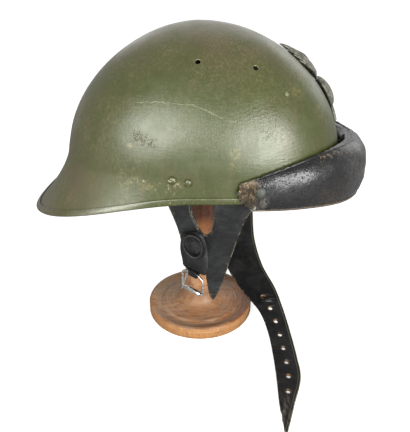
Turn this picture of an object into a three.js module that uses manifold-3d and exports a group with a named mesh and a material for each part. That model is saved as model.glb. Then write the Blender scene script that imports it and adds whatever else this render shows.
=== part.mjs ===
// A steel helmet for motorised troops: a one-piece skull with a neck guard, a stuffed leather brow roll, a badge and
// an open two-part chin strap, resting on a small turned wooden stand.
// Millimetres. +X is the helmet's front, +Y the wearer's left, +Z up.
// The origin is the centre of the stand's flat underside.
import * as THREE from 'three';
import { ParametricGeometry } from 'three/addons/geometries/ParametricGeometry.js';
import { mergeVertices } from 'three/addons/utils/BufferGeometryUtils.js';
import Module from 'manifold-3d';

const wasm = await Module();
wasm.setup();

// Driving dimensions of the shell
const rimHeight = 167;
const skullX = 5.5;
const skullFront = 116;
const skullRear = 118;
const skullHalfWidth = 94;
const crownHeight = 123.5;
const templeHeight = 21;
const crownLean = 5;
const planRoundness = 2.66;
const frontRoundness = 1.94;
const rearRoundness = 1.77;
const guardReach = 38;
const guardDrop = 30;
const guardStart = 0.52;
const guardFlare = 1.6;
const steel = 1.2;

// Driving dimensions of the fittings
const clearance = 0.3;
const shankClearance = 0.42;
const bandClearance = 0.5;
const bandSheet = 0.7;
const bandLeg = 4.2;
const ventRadius = 2.2;
const rivetHeadRadius = 3.3;
const rivetHeadHeight = 2;
const shankRadius = 1.6;
const strapThickness = 2.2;
const strapInset = 3;
const padInset = 1.6;

// Driving dimensions of the stand
const baseRadius = 55.4;
const baseThickness = 12.2;
const stemRadius = 15.5;
const headRadius = 46;

// Merges shared corners, drops faces that closed up at a pole, and turns the surface outwards.
function sealed(geometry) {
  geometry.deleteAttribute('normal');
  geometry.deleteAttribute('uv');
  const merged = mergeVertices(geometry, 1e-3);
  const place = merged.getAttribute('position');
  const index = Array.from(merged.index.array);
  const kept = [];
  let volume = 0;
  const a = new THREE.Vector3();
  const b = new THREE.Vector3();
  const c = new THREE.Vector3();
  for (let i = 0; i < index.length; i += 3) {
    const [p, q, r] = index.slice(i, i + 3);
    if (p === q || q === r || r === p) continue;
    kept.push([p, q, r]);
    a.fromBufferAttribute(place, p);
    b.fromBufferAttribute(place, q);
    c.fromBufferAttribute(place, r);
    volume += a.dot(b.cross(c));
  }
  if (volume < 0) kept.forEach((face) => face.reverse());
  merged.setIndex(kept.flat());
  return merged;
}

function toSolid(geometry) {
  const closed = sealed(geometry);
  return new wasm.Manifold(
    new wasm.Mesh({
      numProp: 3,
      vertProperties: new Float32Array(closed.getAttribute('position').array),
      triVerts: new Uint32Array(closed.index.array),
    }),
  );
}

function toGeometry(solid) {
  const mesh = solid.getMesh();
  const geometry = new THREE.BufferGeometry();
  geometry.setAttribute('position', new THREE.BufferAttribute(new Float32Array(mesh.vertProperties), 3));
  geometry.setIndex(new THREE.BufferAttribute(new Uint32Array(mesh.triVerts), 1));
  return geometry;
}

// A closed surface on a grid: point(column, row) gives a corner, and the columns run round and meet.
function ringGrid(columns, rows, point) {
  const corner = (u, v, target) => {
    const column = Math.round(u * columns) % columns;
    const row = Math.round(v * rows);
    target.copy(point(column, row));
  };
  return new ParametricGeometry(corner, columns, rows);
}

// A solid swept through a list of sections, each a list of corners, with a flat or pointed face at both ends.
function skinned(sections) {
  const count = sections[0].length;
  const middle = (section) =>
    section.reduce((sum, p) => sum.add(p), new THREE.Vector3()).multiplyScalar(1 / section.length);
  const first = middle(sections[0]);
  const last = middle(sections.at(-1));
  const rows = sections.length + 1;
  return ringGrid(count, rows, (column, row) => {
    if (row === 0) return first;
    if (row === rows) return last;
    return sections[row - 1][column];
  });
}

// Reads one column of a table at a place, with a smooth curve through the rows.
function reader(table, key) {
  return (name) => {
    const rows = table.map((row) => new THREE.Vector2(row[key], row[name]));
    return (at) => {
      let i = rows.findIndex((row) => row.x >= at);
      if (i === -1) return rows.at(-1).y;
      if (i === 0) return rows[0].y;
      const before = rows[Math.max(i - 2, 0)];
      const start = rows[i - 1];
      const end = rows[i];
      const after = rows[Math.min(i + 1, rows.length - 1)];
      const span = end.x - start.x;
      const slopeStart = ((end.y - before.y) / (end.x - before.x)) * span;
      const slopeEnd = ((after.y - start.y) / (after.x - start.x)) * span;
      const t = (at - start.x) / span;
      const t2 = t * t;
      const t3 = t2 * t;
      return (
        (2 * t3 - 3 * t2 + 1) * start.y + (t3 - 2 * t2 + t) * slopeStart
        + (3 * t2 - 2 * t3) * end.y + (t3 - t2) * slopeEnd
      );
    };
  };
}

// The shell's outer surface. Azimuth 0 is the front; fall runs from 0 at the crown to 1 at the rim.
const domeShare = 0.6;

function planRadius(azimuth) {
  const across = Math.abs(Math.sin(azimuth)) / skullHalfWidth;
  const along = Math.abs(Math.cos(azimuth)) / (Math.cos(azimuth) > 0 ? skullFront : skullRear);
  return (along ** planRoundness + across ** planRoundness) ** (-1 / planRoundness);
}

function outerWall(azimuth, fall) {
  const forward = Math.cos(azimuth);
  const rearward = Math.max(-forward, 0);
  let radius = planRadius(azimuth);
  let height = templeHeight;
  let lean = 0;
  if (fall < domeShare) {
    const roundness = (frontRoundness * (1 + forward) + rearRoundness * (1 - forward)) / 2;
    const angle = ((fall / domeShare) * Math.PI) / 2;
    const rise = Math.cos(angle) ** (2 / roundness);
    radius *= Math.sin(angle) ** (2 / roundness);
    height += (crownHeight - templeHeight) * rise;
    lean = crownLean * rise;
  } else {
    height -= ((templeHeight + guardDrop * rearward ** 3.1) * (fall - domeShare)) / (1 - domeShare);
  }
  const sweep = Math.max(fall - guardStart, 0) / (1 - guardStart);
  radius += guardReach * rearward ** 2.5 * sweep ** guardFlare;
  return new THREE.Vector3(
    skullX + radius * forward - lean,
    radius * Math.sin(azimuth),
    rimHeight + height,
  );
}

function wallNormal(azimuth, fall) {
  if (fall < 1e-6) return new THREE.Vector3(0, 0, 1);
  const step = 1e-3;
  const below = Math.min(fall + step, 1);
  const down = outerWall(azimuth, below).sub(outerWall(azimuth, below - 2 * step));
  const round = outerWall(azimuth + step, fall).sub(outerWall(azimuth - step, fall));
  return down.cross(round).normalize();
}

// A point at a distance out from the shell's outer surface; negative is inside.
function offWall(azimuth, fall, out) {
  return outerWall(azimuth, fall).addScaledVector(wallNormal(azimuth, fall), out);
}

// The place on the shell that lies at a given x and height on one side, in front of the guard's flare.
function findOnWall(x, height) {
  let best = { miss: Infinity };
  for (let azimuth = 0; azimuth <= 180; azimuth += 0.25) {
    for (let fall = 0.02; fall <= 1; fall += 0.01) {
      const angle = (-azimuth * Math.PI) / 180;
      const place = outerWall(angle, fall);
      const miss = (place.x - x) ** 2 + (place.z - height) ** 2;
      if (miss < best.miss) best = { miss, azimuth: angle, fall };
    }
  }
  return best;
}

// Half the shell's width at x, at rim height.
function wallHalfWidth(x) {
  const along = Math.abs(x - skullX) / (x > skullX ? skullFront : skullRear);
  return skullHalfWidth * (1 - along ** planRoundness) ** (1 / planRoundness);
}

const part = new THREE.Group();

const olivePaint = { color: 0x6b6f4a, roughness: 0.5, metalness: 0.2 };
const blackLeather = { color: 0x26262a, roughness: 0.45, metalness: 0 };
const charcoalLeather = { color: 0x3c3c3c, roughness: 0.75, metalness: 0 };
const brightSteel = { color: 0xc8c8c4, roughness: 0.25, metalness: 1 };
const turnedWood = { color: 0xa86a3c, roughness: 0.55, metalness: 0 };

function addPiece(name, geometry, finish, parent = part) {
  const mesh = new THREE.Mesh(geometry, new THREE.MeshStandardMaterial(finish));
  mesh.name = name;
  parent.add(mesh);
  return mesh;
}

// A plain round bar along +Z, centred, used as a punch.
function punch(radius, length, place, direction, sides = 10) {
  const bar = new THREE.CylinderGeometry(radius, radius, length, sides);
  bar.rotateX(Math.PI / 2);
  const turn = new THREE.Quaternion().setFromUnitVectors(new THREE.Vector3(0, 0, 1), direction);
  bar.applyQuaternion(turn);
  bar.translate(place.x, place.y, place.z);
  return toSolid(bar);
}

// Side rivets and pad rivets: x and height of each on the wearer's right, repeated on the left.
const rivetTable = [
  { name: 'side_rivet_rear', x: -19, height: 185.5, seat: 0 },
  { name: 'side_rivet_front', x: -7.3, height: 183.5, seat: 0 },
  { name: 'pad_rivet', x: 45.3, height: 178, seat: 7.4 },
];

const ventTable = [
  { x: 0, height: 264.5 },
  { x: 42.4, height: 260.4 },
];

const mirrorSides = [
  { side: 'right', sign: 1 },
  { side: 'left', sign: -1 },
];

const rivets = rivetTable.flatMap((row) => {
  const found = findOnWall(row.x, row.height);
  return mirrorSides.map(({ side, sign }) => ({
    name: `${row.name}_${side}`,
    seat: row.seat,
    place: offWall(found.azimuth * sign, found.fall, 0),
    normal: wallNormal(found.azimuth * sign, found.fall),
  }));
});

const shankHoles = rivets.map((rivet) =>
  punch(shankRadius + shankClearance, 34, rivet.place, rivet.normal),
);

// Shell: outer surface down to the rim, then the inner surface back up to the crown.
const wallColumns = 44;
const wallRows = 15;

function makeShell() {
  const grid = ringGrid(wallColumns, 2 * wallRows + 1, (column, row) => {
    const azimuth = (column / wallColumns) * 2 * Math.PI;
    const outside = row <= wallRows;
    const fall = outside ? row / wallRows : (2 * wallRows + 1 - row) / wallRows;
    return offWall(azimuth, fall, outside ? 0 : -steel);
  });
  let shell = toSolid(grid);
  for (const vent of ventTable) {
    const found = findOnWall(vent.x, vent.height);
    for (const { sign } of mirrorSides) {
      const azimuth = found.azimuth * sign;
      const hole = punch(ventRadius, 10, outerWall(azimuth, found.fall), wallNormal(azimuth, found.fall));
      shell = shell.subtract(hole);
    }
  }
  for (const hole of shankHoles) shell = shell.subtract(hole);
  return toGeometry(shell);
}

addPiece('shell', makeShell(), olivePaint);

// Rim band: a strip folded over the edge, the same all the way round.
function makeRimBand() {
  const outFace = bandClearance + bandSheet;
  const section = [
    { out: outFace, up: bandLeg },
    { out: outFace, up: -outFace },
    { out: -steel - outFace, up: -outFace },
    { out: -steel - outFace, up: bandLeg },
    { out: -steel - bandClearance, up: bandLeg },
    { out: -steel - bandClearance, up: -bandClearance },
    { out: bandClearance, up: -bandClearance },
    { out: bandClearance, up: bandLeg },
  ];
  const grid = ringGrid(section.length, wallColumns, (corner, step) => {
    const azimuth = ((step % wallColumns) / wallColumns) * 2 * Math.PI;
    const edge = outerWall(azimuth, 1);
    const up = outerWall(azimuth, 1 - 1 / wallRows).sub(edge).normalize();
    return edge
      .addScaledVector(wallNormal(azimuth, 1), section[corner].out)
      .addScaledVector(up, section[corner].up);
  });
  return sealed(grid);
}

addPiece('rim_band', makeRimBand(), olivePaint);

// Rivets: a domed head outside, a shank through the wall and the strap, and a hammered head inside.
function rivetProfile(seat) {
  const inner = strapInset + strapThickness + 2 * clearance;
  const underHead = seat + clearance;
  return [
    new THREE.Vector2(0, underHead + rivetHeadHeight),
    new THREE.Vector2(rivetHeadRadius * 0.6, underHead + rivetHeadHeight * 0.8),
    new THREE.Vector2(rivetHeadRadius * 0.93, underHead + rivetHeadHeight * 0.35),
    new THREE.Vector2(rivetHeadRadius, underHead),
    new THREE.Vector2(shankRadius, underHead),
    new THREE.Vector2(shankRadius, -inner),
    new THREE.Vector2(rivetHeadRadius * 0.85, -inner),
    new THREE.Vector2(rivetHeadRadius * 0.7, -inner - 1),
    new THREE.Vector2(0, -inner - 1),
  ];
}

for (const rivet of rivets) {
  const geometry = new THREE.LatheGeometry(rivetProfile(rivet.seat), 8);
  const piece = addPiece(rivet.name, sealed(geometry), olivePaint);
  piece.position.copy(rivet.place);
  piece.quaternion.setFromUnitVectors(new THREE.Vector3(0, 1, 0), rivet.normal);
}

// Brow pad: a stuffed roll from one riveted tab round the front to the other.
const padTable = [
  { azimuth: 0, thick: 28, bottom: 150.5, top: 198, lip: 8, square: 0.36 },
  { azimuth: 15, thick: 24, bottom: 152, top: 199.5, lip: 3, square: 0.38 },
  { azimuth: 30, thick: 17.5, bottom: 157, top: 202, lip: 0, square: 0.45 },
  { azimuth: 45, thick: 11, bottom: 160.5, top: 199.5, lip: 0, square: 0.6 },
  { azimuth: 60, thick: 6.4, bottom: 161.5, top: 192, lip: 0, square: 0.6 },
  { azimuth: 68, thick: 4.4, bottom: 161.5, top: 187, lip: 0, square: 0.6 },
  { azimuth: 75.3, thick: 3, bottom: 161.5, top: 182.5, lip: 0, square: 0.6 },
];
const padEnd = 75.3;
const padSteps = 36;
const padSlant = 0.075;
const seamShare = 0.78;

function makeBrowPad() {
  const column = reader(padTable, 'azimuth');
  const thick = column('thick');
  const bottom = column('bottom');
  const top = column('top');
  const lip = column('lip');
  const square = column('square');
  const crown = [-1, -0.86, -0.6, -0.2, 0.2, 0.6, 0.86, 1];
  const sections = [];
  for (let step = 0; step <= padSteps; step += 1) {
    const degrees = padEnd * ((2 * step) / padSteps - 1);
    const at = Math.abs(degrees);
    const middle = (bottom(at) + top(at)) / 2;
    const half = (top(at) - bottom(at)) / 2;
    // The lower corner of each riveted end is cut back.
    const corner = (away, rise) => {
      const kept = 1 - padSlant * Math.max(-rise, 0) * (at / padEnd) ** 8;
      const azimuth = (degrees * kept * Math.PI) / 180;
      const out = wallNormal(azimuth, domeShare).setZ(0).normalize();
      return outerWall(azimuth, domeShare).setZ(middle + half * rise).addScaledVector(out, padInset + away);
    };
    const section = crown.map((rise) => {
      const bulge = rise > 0 ? (1 - rise ** 3) ** square(at) : seamShare + (1 - seamShare) * (1 + rise ** 3);
      const rest = rise > 0 ? lip(at) * rise ** 2 : 0;
      return corner(rest + (thick(at) - rest) * bulge, rise);
    });
    section.push(corner(0.4 * lip(at), 0.5));
    section.push(corner(0, -0.2));
    section.push(corner(0, -1));
    sections.push(section);
  }
  let pad = toSolid(skinned(sections));
  for (const hole of shankHoles) pad = pad.subtract(hole);
  return toGeometry(pad);
}

addPiece('brow_pad', makeBrowPad(), blackLeather);

// Chin yokes: the sheet of leather that hangs inside the rim, and its lean inwards as it falls.
const yokeLean = 0.15;

function yokeFace(x, height) {
  const inset = strapInset;
  const hang = Math.max(rimHeight - height, 0);
  const fullWidth = wallHalfWidth(skullX);
  const curl = Math.exp(-hang / 60);
  const half = fullWidth + (wallHalfWidth(x) - fullWidth) * curl;
  return -(half - inset) + yokeLean * hang;
}

// The right yoke's outline, seen from the wearer's right.
function yokeOutline() {
  const shape = new THREE.Shape();
  shape.moveTo(-27, 191);
  shape.lineTo(-26, 172);
  shape.splineThru([
    new THREE.Vector2(-23, 162),
    new THREE.Vector2(-17, 143),
    new THREE.Vector2(-14, 126),
    new THREE.Vector2(-13, 108),
  ]);
  shape.lineTo(4, 106);
  shape.splineThru([
    new THREE.Vector2(7, 84),
    new THREE.Vector2(9, 70),
    new THREE.Vector2(12.5, 62),
  ]);
  shape.splineThru([
    new THREE.Vector2(19, 78),
    new THREE.Vector2(26, 107),
    new THREE.Vector2(32, 132),
    new THREE.Vector2(41, 157),
    new THREE.Vector2(56, 172),
  ]);
  shape.lineTo(56, 184);
  shape.lineTo(38, 184);
  shape.splineThru([
    new THREE.Vector2(20, 175),
    new THREE.Vector2(12, 162),
    new THREE.Vector2(12.5, 149),
    new THREE.Vector2(10.5, 139),
    new THREE.Vector2(6.8, 134.5),
    new THREE.Vector2(3, 137),
    new THREE.Vector2(-1.5, 148),
    new THREE.Vector2(-5, 158),
    new THREE.Vector2(-3, 172),
  ]);
  shape.lineTo(0, 191);
  return shape;
}

function makeRightYoke() {
  const columns = 8;
  const rows = 12;
  const sheet = { left: -30, right: 58, bottom: 58, top: 194 };
  const sections = [];
  for (let row = 0; row <= rows; row += 1) {
    const height = sheet.top - ((sheet.top - sheet.bottom) * row) / rows;
    const section = [];
    for (let column = 0; column <= columns; column += 1) {
      const x = sheet.left + ((sheet.right - sheet.left) * column) / columns;
      section.push(new THREE.Vector3(x, yokeFace(x, height), height));
    }
    const back = section.map((p) => new THREE.Vector3(p.x, p.y + strapThickness, p.z)).reverse();
    sections.push([...section, ...back]);
  }
  const cutter = new THREE.ExtrudeGeometry(yokeOutline(), { depth: 80, bevelEnabled: false, curveSegments: 5 });
  cutter.rotateX(Math.PI / 2);
  cutter.translate(0, -40, 0);
  let yoke = toSolid(skinned(sections)).intersect(toSolid(cutter));
  for (const hole of shankHoles) yoke = yoke.subtract(hole);
  return toGeometry(yoke);
}

addPiece('chin_yoke_right', makeRightYoke(), charcoalLeather);

// Left strap: sections down its length, from the rim to the pointed end, with the depth, height and two edges of each.
const strapTable = [
  { along: 0, y: 91, z: 191, rear: -27, front: 56 },
  { along: 24, y: 91, z: 167, rear: -26, front: 56 },
  { along: 56, y: 88, z: 135, rear: -19, front: 58 },
  { along: 86, y: 80, z: 107, rear: -8, front: 59 },
  { along: 113, y: 66, z: 84, rear: 4, front: 60.5 },
  { along: 142, y: 45, z: 60, rear: 15, front: 61.5 },
  { along: 173, y: 20, z: 40, rear: 28, front: 68.5 },
  { along: 204, y: -5, z: 25.5, rear: 43, front: 80.5 },
  { along: 234, y: -30, z: 15, rear: 61, front: 86.5 },
  { along: 260, y: -55, z: 8.5, rear: 67.5, front: 89.5 },
  { along: 290, y: -85, z: 4.5, rear: 69, front: 91 },
  { along: 315, y: -110, z: 3, rear: 68.5, front: 90 },
  { along: 343, y: -138, z: 2.5, rear: 67, front: 79.5 },
  { along: 370, y: -165, z: 2.5, rear: 67, front: 69.5 },
];
const strapLength = 370;
const strapSteps = 30;
const holeCount = 8;
const firstHole = 215;
const holePitch = 16.4;
const holeRadius = 2;

const strapColumn = reader(strapTable, 'along');
const strapY = strapColumn('y');
const strapZ = strapColumn('z');
const strapRear = strapColumn('rear');
const strapFront = strapColumn('front');

function strapPoint(along, share) {
  const x = strapRear(along) + (strapFront(along) - strapRear(along)) * share;
  const curl = Math.exp(-Math.max(along - 24, 0) / 40);
  const bow = (wallHalfWidth(skullX) - wallHalfWidth(x)) * curl;
  return new THREE.Vector3(x, strapY(along) - bow, strapZ(along));
}

function strapNormal(along) {
  const down = strapPoint(Math.min(along + 2, strapLength), 0.5).sub(strapPoint(Math.max(along - 2, 0), 0.5));
  return new THREE.Vector3(0, -down.z, down.y).normalize();
}

function makeLeftStrap() {
  const columns = 5;
  const sections = [];
  for (let step = 0; step <= strapSteps; step += 1) {
    const along = (strapLength * step) / strapSteps;
    const inward = strapNormal(along).multiplyScalar(-strapThickness);
    const face = [];
    for (let column = 0; column <= columns; column += 1) {
      face.push(strapPoint(along, column / columns));
    }
    const back = face.map((p) => p.clone().add(inward)).reverse();
    sections.push([...face, ...back]);
  }
  let strap = toSolid(skinned(sections));
  for (let hole = 0; hole < holeCount; hole += 1) {
    const along = firstHole + holePitch * hole;
    strap = strap.subtract(punch(holeRadius, 12, strapPoint(along, 0.5), strapNormal(along), 8));
  }
  const opening = new THREE.Shape();
  opening.absellipse(13, 158, 12, 22, 0, 2 * Math.PI);
  const cutter = new THREE.ExtrudeGeometry(opening, { depth: 60, bevelEnabled: false, curveSegments: 16 });
  cutter.rotateX(Math.PI / 2);
  cutter.translate(0, 120, 0);
  strap = strap.subtract(toSolid(cutter));
  for (const hole of shankHoles) strap = strap.subtract(hole);
  return toGeometry(strap);
}

addPiece('chin_strap_left', makeLeftStrap(), charcoalLeather);

// Buckle tab: a folded strap on the yoke that twists as it falls and turns under the buckle's bar.
const tabThickness = 1.8;
const barWire = 0.95;
const barPlace = new THREE.Vector3(-5.2, -91.5, 103.1);
const buckleTwist = 42;
const foldSlide = 1.7;
const foldHalfWidth = 3.7;
const prongSlide = -3.8;
const prongNotchWidth = 3.9;
const prongNotchHeight = 8.2;
const tabTable = [
  { along: 0, x: -4.5, y: -88.1, z: 140, twist: 0, half: 8 },
  { along: 10, x: -4, y: -89.6, z: 130.5, twist: 6, half: 10.5 },
  { along: 19, x: -3, y: -92.6, z: 122, twist: 22, half: 12.5 },
  { along: 28, x: -2.6, y: -94, z: 113, twist: 34, half: 12.8 },
  { along: 33, x: -3.5, y: -94.2, z: 108, twist: 40, half: 10.5 },
];

function makeBuckleTab() {
  const column = reader(tabTable, 'along');
  const read = { x: column('x'), y: column('y'), z: column('z'), twist: column('twist'), half: column('half') };
  const frames = [];
  const steps = 9;
  for (let step = 0; step <= steps; step += 1) {
    const along = (tabTable.at(-1).along * step) / steps;
    const twist = (read.twist(along) * Math.PI) / 180;
    frames.push({
      middle: new THREE.Vector3(read.x(along), read.y(along), read.z(along)),
      across: new THREE.Vector3(Math.cos(twist), -Math.sin(twist), 0),
      out: new THREE.Vector3(-Math.sin(twist), -Math.cos(twist), 0),
      half: read.half(along),
    });
  }
  const twist = (buckleTwist * Math.PI) / 180;
  const across = new THREE.Vector3(Math.cos(twist), -Math.sin(twist), 0);
  const outward = new THREE.Vector3(-Math.sin(twist), -Math.cos(twist), 0);
  const foldRadius = barWire + clearance + 0.2 + tabThickness / 2;
  const foldPlace = barPlace.clone().addScaledVector(across, foldSlide);
  const down = new THREE.Vector3(0, 0, -1);
  for (let degrees = 0; degrees <= 180; degrees += 30) {
    const angle = (degrees * Math.PI) / 180;
    const out = outward.clone().multiplyScalar(Math.cos(angle)).addScaledVector(down, Math.sin(angle));
    frames.push({ middle: foldPlace.clone().addScaledVector(out, foldRadius), across, out, half: foldHalfWidth });
  }
  const inward = outward.clone().negate();
  const backPlace = foldPlace.clone().addScaledVector(inward, foldRadius);
  frames.push({ middle: backPlace.setZ(barPlace.z + 6), across, out: inward, half: foldHalfWidth });
  const sections = frames.map(({ middle, across: side, out, half }) => [
    middle.clone().addScaledVector(side, -half).addScaledVector(out, tabThickness / 2),
    middle.clone().addScaledVector(out, tabThickness / 2),
    middle.clone().addScaledVector(side, half).addScaledVector(out, tabThickness / 2),
    middle.clone().addScaledVector(side, half).addScaledVector(out, -tabThickness / 2),
    middle.clone().addScaledVector(out, -tabThickness / 2),
    middle.clone().addScaledVector(side, -half).addScaledVector(out, -tabThickness / 2),
  ]);
  const notch = new THREE.BoxGeometry(prongNotchWidth, 12, prongNotchHeight);
  notch.translate(prongSlide, 0, 0);
  notch.rotateZ(-twist);
  notch.translate(barPlace.x, barPlace.y, barPlace.z);
  return toGeometry(toSolid(skinned(sections)).subtract(toSolid(notch)));
}

addPiece('buckle_tab', makeBuckleTab(), charcoalLeather);

// Keeper: an oval leather loop that stands on the tab.
function makeKeeper() {
  const ring = new THREE.Shape();
  ring.absellipse(0, 0, 8.6, 11, 0, 2 * Math.PI);
  const hole = new THREE.Path();
  hole.absellipse(0, 0, 6.7, 9.1, 0, 2 * Math.PI);
  ring.holes.push(hole);
  return sealed(new THREE.ExtrudeGeometry(ring, { depth: 5, bevelEnabled: false, curveSegments: 10 }));
}

const keeper = addPiece('keeper_loop', makeKeeper(), charcoalLeather);
keeper.position.set(-4.3, -95.6, 131.5);
keeper.rotation.set(Math.PI / 2, 0, 0.35, 'XYZ');

// Buckle: a wire frame that hangs from the fold, a roller on its far side, and a prong with an eye on the bar.
const frameHalfWidth = 11.5;
const barHalfWidth = 6.5;
const shoulderDrop = 3;
const frameDrop = 17.5;
const rollerLength = 18;
const rollerBore = barWire + 0.4;
const rollerRadius = rollerBore + 0.6;
const prongWire = 0.8;
const prongTipShift = -5.6;

const buckle = new THREE.Group();
buckle.position.copy(barPlace);
buckle.rotation.z = (-buckleTwist * Math.PI) / 180;
part.add(buckle);

function makeBuckleFrame() {
  const outline = [
    { x: -barHalfWidth, z: 0 },
    { x: barHalfWidth, z: 0 },
    { x: frameHalfWidth, z: -shoulderDrop },
    { x: frameHalfWidth, z: -frameDrop },
    { x: -frameHalfWidth, z: -frameDrop },
    { x: -frameHalfWidth, z: -shoulderDrop },
  ];
  const sides = 8;
  const count = outline.length;
  const grid = ringGrid(sides, count, (corner, step) => {
    const here = outline[step % count];
    const before = outline[(step + count - 1) % count];
    const after = outline[(step + 1) % count];
    const arrive = new THREE.Vector2(here.x - before.x, here.z - before.z).normalize();
    const leave = new THREE.Vector2(after.x - here.x, after.z - here.z).normalize();
    const mitre = arrive.clone().add(leave).normalize();
    const stretch = 1 / mitre.dot(leave);
    const angle = ((corner + 0.5) / sides) * 2 * Math.PI;
    const out = Math.cos(angle) * barWire * stretch;
    return new THREE.Vector3(here.x + mitre.y * out, Math.sin(angle) * barWire, here.z - mitre.x * out);
  });
  return sealed(grid);
}

addPiece('buckle_frame', makeBuckleFrame(), brightSteel, buckle);

function makeRoller() {
  return makeSleeve(rollerBore, rollerRadius, rollerLength);
}

function makeSleeve(bore, outside, length) {
  const half = length / 2;
  const profile = [
    new THREE.Vector2(bore, -half),
    new THREE.Vector2(outside, -half),
    new THREE.Vector2(outside, half),
    new THREE.Vector2(bore, half),
    new THREE.Vector2(bore, -half),
  ];
  return sealed(new THREE.LatheGeometry(profile, 12));
}

const roller = addPiece('buckle_roller', makeRoller(), brightSteel, buckle);
roller.position.set(0, 0, -frameDrop);
roller.rotation.z = Math.PI / 2;

// The prong runs from its eye on the bar to the roller's end, on the outer side.
function makeProng() {
  const eye = makeSleeve(barWire + 0.4, barWire + 1.2, 2.2);
  eye.rotateZ(Math.PI / 2);
  const route = [
    { share: 0, y: -barWire - 1.2 },
    { share: 0.25, y: -barWire - 1.4 },
    { share: 0.7, y: -rollerRadius - prongWire - 0.5 },
    { share: 1, y: -rollerRadius - prongWire - clearance },
  ];
  const length = frameDrop + 1;
  const sides = 6;
  const sections = route.map(({ share, y }) => {
    const section = [];
    for (let side = 0; side < sides; side += 1) {
      const angle = (side / sides) * 2 * Math.PI;
      section.push(new THREE.Vector3(
        prongTipShift * share + Math.cos(angle) * prongWire,
        y + Math.sin(angle) * prongWire,
        -length * share,
      ));
    }
    return section;
  });
  return toGeometry(toSolid(eye).add(toSolid(skinned(sections))));
}

const prong = addPiece('buckle_prong', makeProng(), brightSteel, buckle);
prong.position.set(prongSlide, 0, 0);

// Badge: flames over a ball with a short tail, pressed in relief. It is shaped flat, then laid round the brow:
// across is to the wearer's left, down runs from the ball's centre towards the rim, and out is off the steel.
const ballFall = 0.4465;
const wallPerFall = 288;
const ballRadius = 15;
const ballDepth = 3.7;
const badgeStandoff = 1.2;
const flameTable = [
  { across: 0, tip: -61, curl: 0, width: 5.5 },
  { across: 9, tip: -55, curl: 3, width: 4.8 },
  { across: 17, tip: -42, curl: 7, width: 4.2 },
  { across: -9, tip: -55, curl: -3, width: 4.8 },
  { across: -17, tip: -42, curl: -7, width: 4.2 },
];
const tailTable = [
  { across: 0, reach: 24 },
  { across: 6, reach: 22 },
  { across: -6, reach: 22 },
];

function laidOnBrow(geometry) {
  const place = geometry.getAttribute('position');
  for (let i = 0; i < place.count; i += 1) {
    const fall = ballFall + place.getY(i) / wallPerFall;
    const round = outerWall(0, fall).x - skullX;
    const corner = offWall(place.getX(i) / round, fall, place.getZ(i));
    place.setXYZ(i, corner.x, corner.y, corner.z);
  }
  return sealed(geometry);
}

function lobe(route, sides = 6) {
  const sections = route.map(({ across, down, out, width, depth }) => {
    const section = [];
    for (let side = 0; side < sides; side += 1) {
      const angle = (side / sides) * 2 * Math.PI;
      section.push(new THREE.Vector3(
        across + Math.cos(angle) * width,
        down,
        out + Math.sin(angle) * depth,
      ));
    }
    return section;
  });
  return toSolid(skinned(sections));
}

function makeBadge() {
  const ball = new THREE.SphereGeometry(1, 16, 10);
  ball.scale(ballRadius, ballRadius, ballDepth);
  ball.translate(0, 0, badgeStandoff + ballDepth);
  let badge = toSolid(ball);
  const swell = [0.75, 1, 0.95, 0.7, 0.4, 0.12];
  for (const flame of flameTable) {
    const route = swell.map((share, i) => {
      const t = i / (swell.length - 1);
      const depth = 0.6 + 1.5 * share;
      return {
        across: flame.across * t ** 0.8 + flame.curl * t * (1 - t),
        down: -9 + (flame.tip + 9) * t,
        out: badgeStandoff + depth + 0.5 * Math.sin(Math.PI * t),
        width: Math.max(flame.width * share, 0.5),
        depth,
      };
    });
    badge = badge.add(lobe(route));
  }
  for (const tail of tailTable) {
    const route = [0, 0.5, 1].map((t) => ({
      across: tail.across * t,
      down: 10 + (tail.reach - 10) * t,
      out: badgeStandoff + 1.6,
      width: 3.4 - 1.2 * t,
      depth: 1.5 - 0.5 * t,
    }));
    badge = badge.add(lobe(route));
  }
  for (const down of [-26, 4]) {
    const pin = new THREE.CylinderGeometry(1.5, 1.5, 3, 8);
    pin.rotateX(Math.PI / 2);
    pin.translate(0, down, clearance + 1.5);
    badge = badge.add(toSolid(pin));
  }
  return laidOnBrow(toGeometry(badge));
}

addPiece('badge', makeBadge(), { color: 0x6a6f62, roughness: 0.55, metalness: 0.6 });

// Stand: a turned base that swells up to the stem, a stem, and a rounded head under the crown.
const baseProfile = [
  { radius: baseRadius - 1, height: 0 },
  { radius: baseRadius, height: 1 },
  { radius: baseRadius, height: baseThickness - 1.6 },
  { radius: baseRadius - 1.5, height: baseThickness },
  { radius: 50.8, height: baseThickness },
  { radius: 47.5, height: 10.4 },
  { radius: 42, height: 9.6 },
  { radius: 39.5, height: 10.9 },
  { radius: 37, height: 10.7 },
  { radius: 30, height: 11.4 },
  { radius: 24, height: 13.8 },
  { radius: 19.5, height: 18.4 },
  { radius: 16.8, height: 26 },
  { radius: stemRadius, height: 36 },
];
const stemProfile = [
  { radius: stemRadius, height: 36 + clearance },
  { radius: stemRadius, height: 90 },
  { radius: stemRadius + 1.5, height: 130 },
  { radius: stemRadius, height: 180 },
  { radius: 13, height: 225 },
];
const headFoot = 225 + clearance;
const headTop = rimHeight + crownHeight - steel - 1.1;

function turned(profile, segments) {
  const low = profile[0];
  const high = profile.at(-1);
  const points = [
    new THREE.Vector2(0, low.height),
    ...profile.map((row) => new THREE.Vector2(row.radius, row.height)),
    new THREE.Vector2(0, high.height),
  ];
  const geometry = new THREE.LatheGeometry(points, segments);
  geometry.rotateX(Math.PI / 2);
  return sealed(geometry);
}

addPiece('stand_base', turned(baseProfile, 28), turnedWood);
addPiece('stand_stem', turned(stemProfile, 20), turnedWood);

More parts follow.
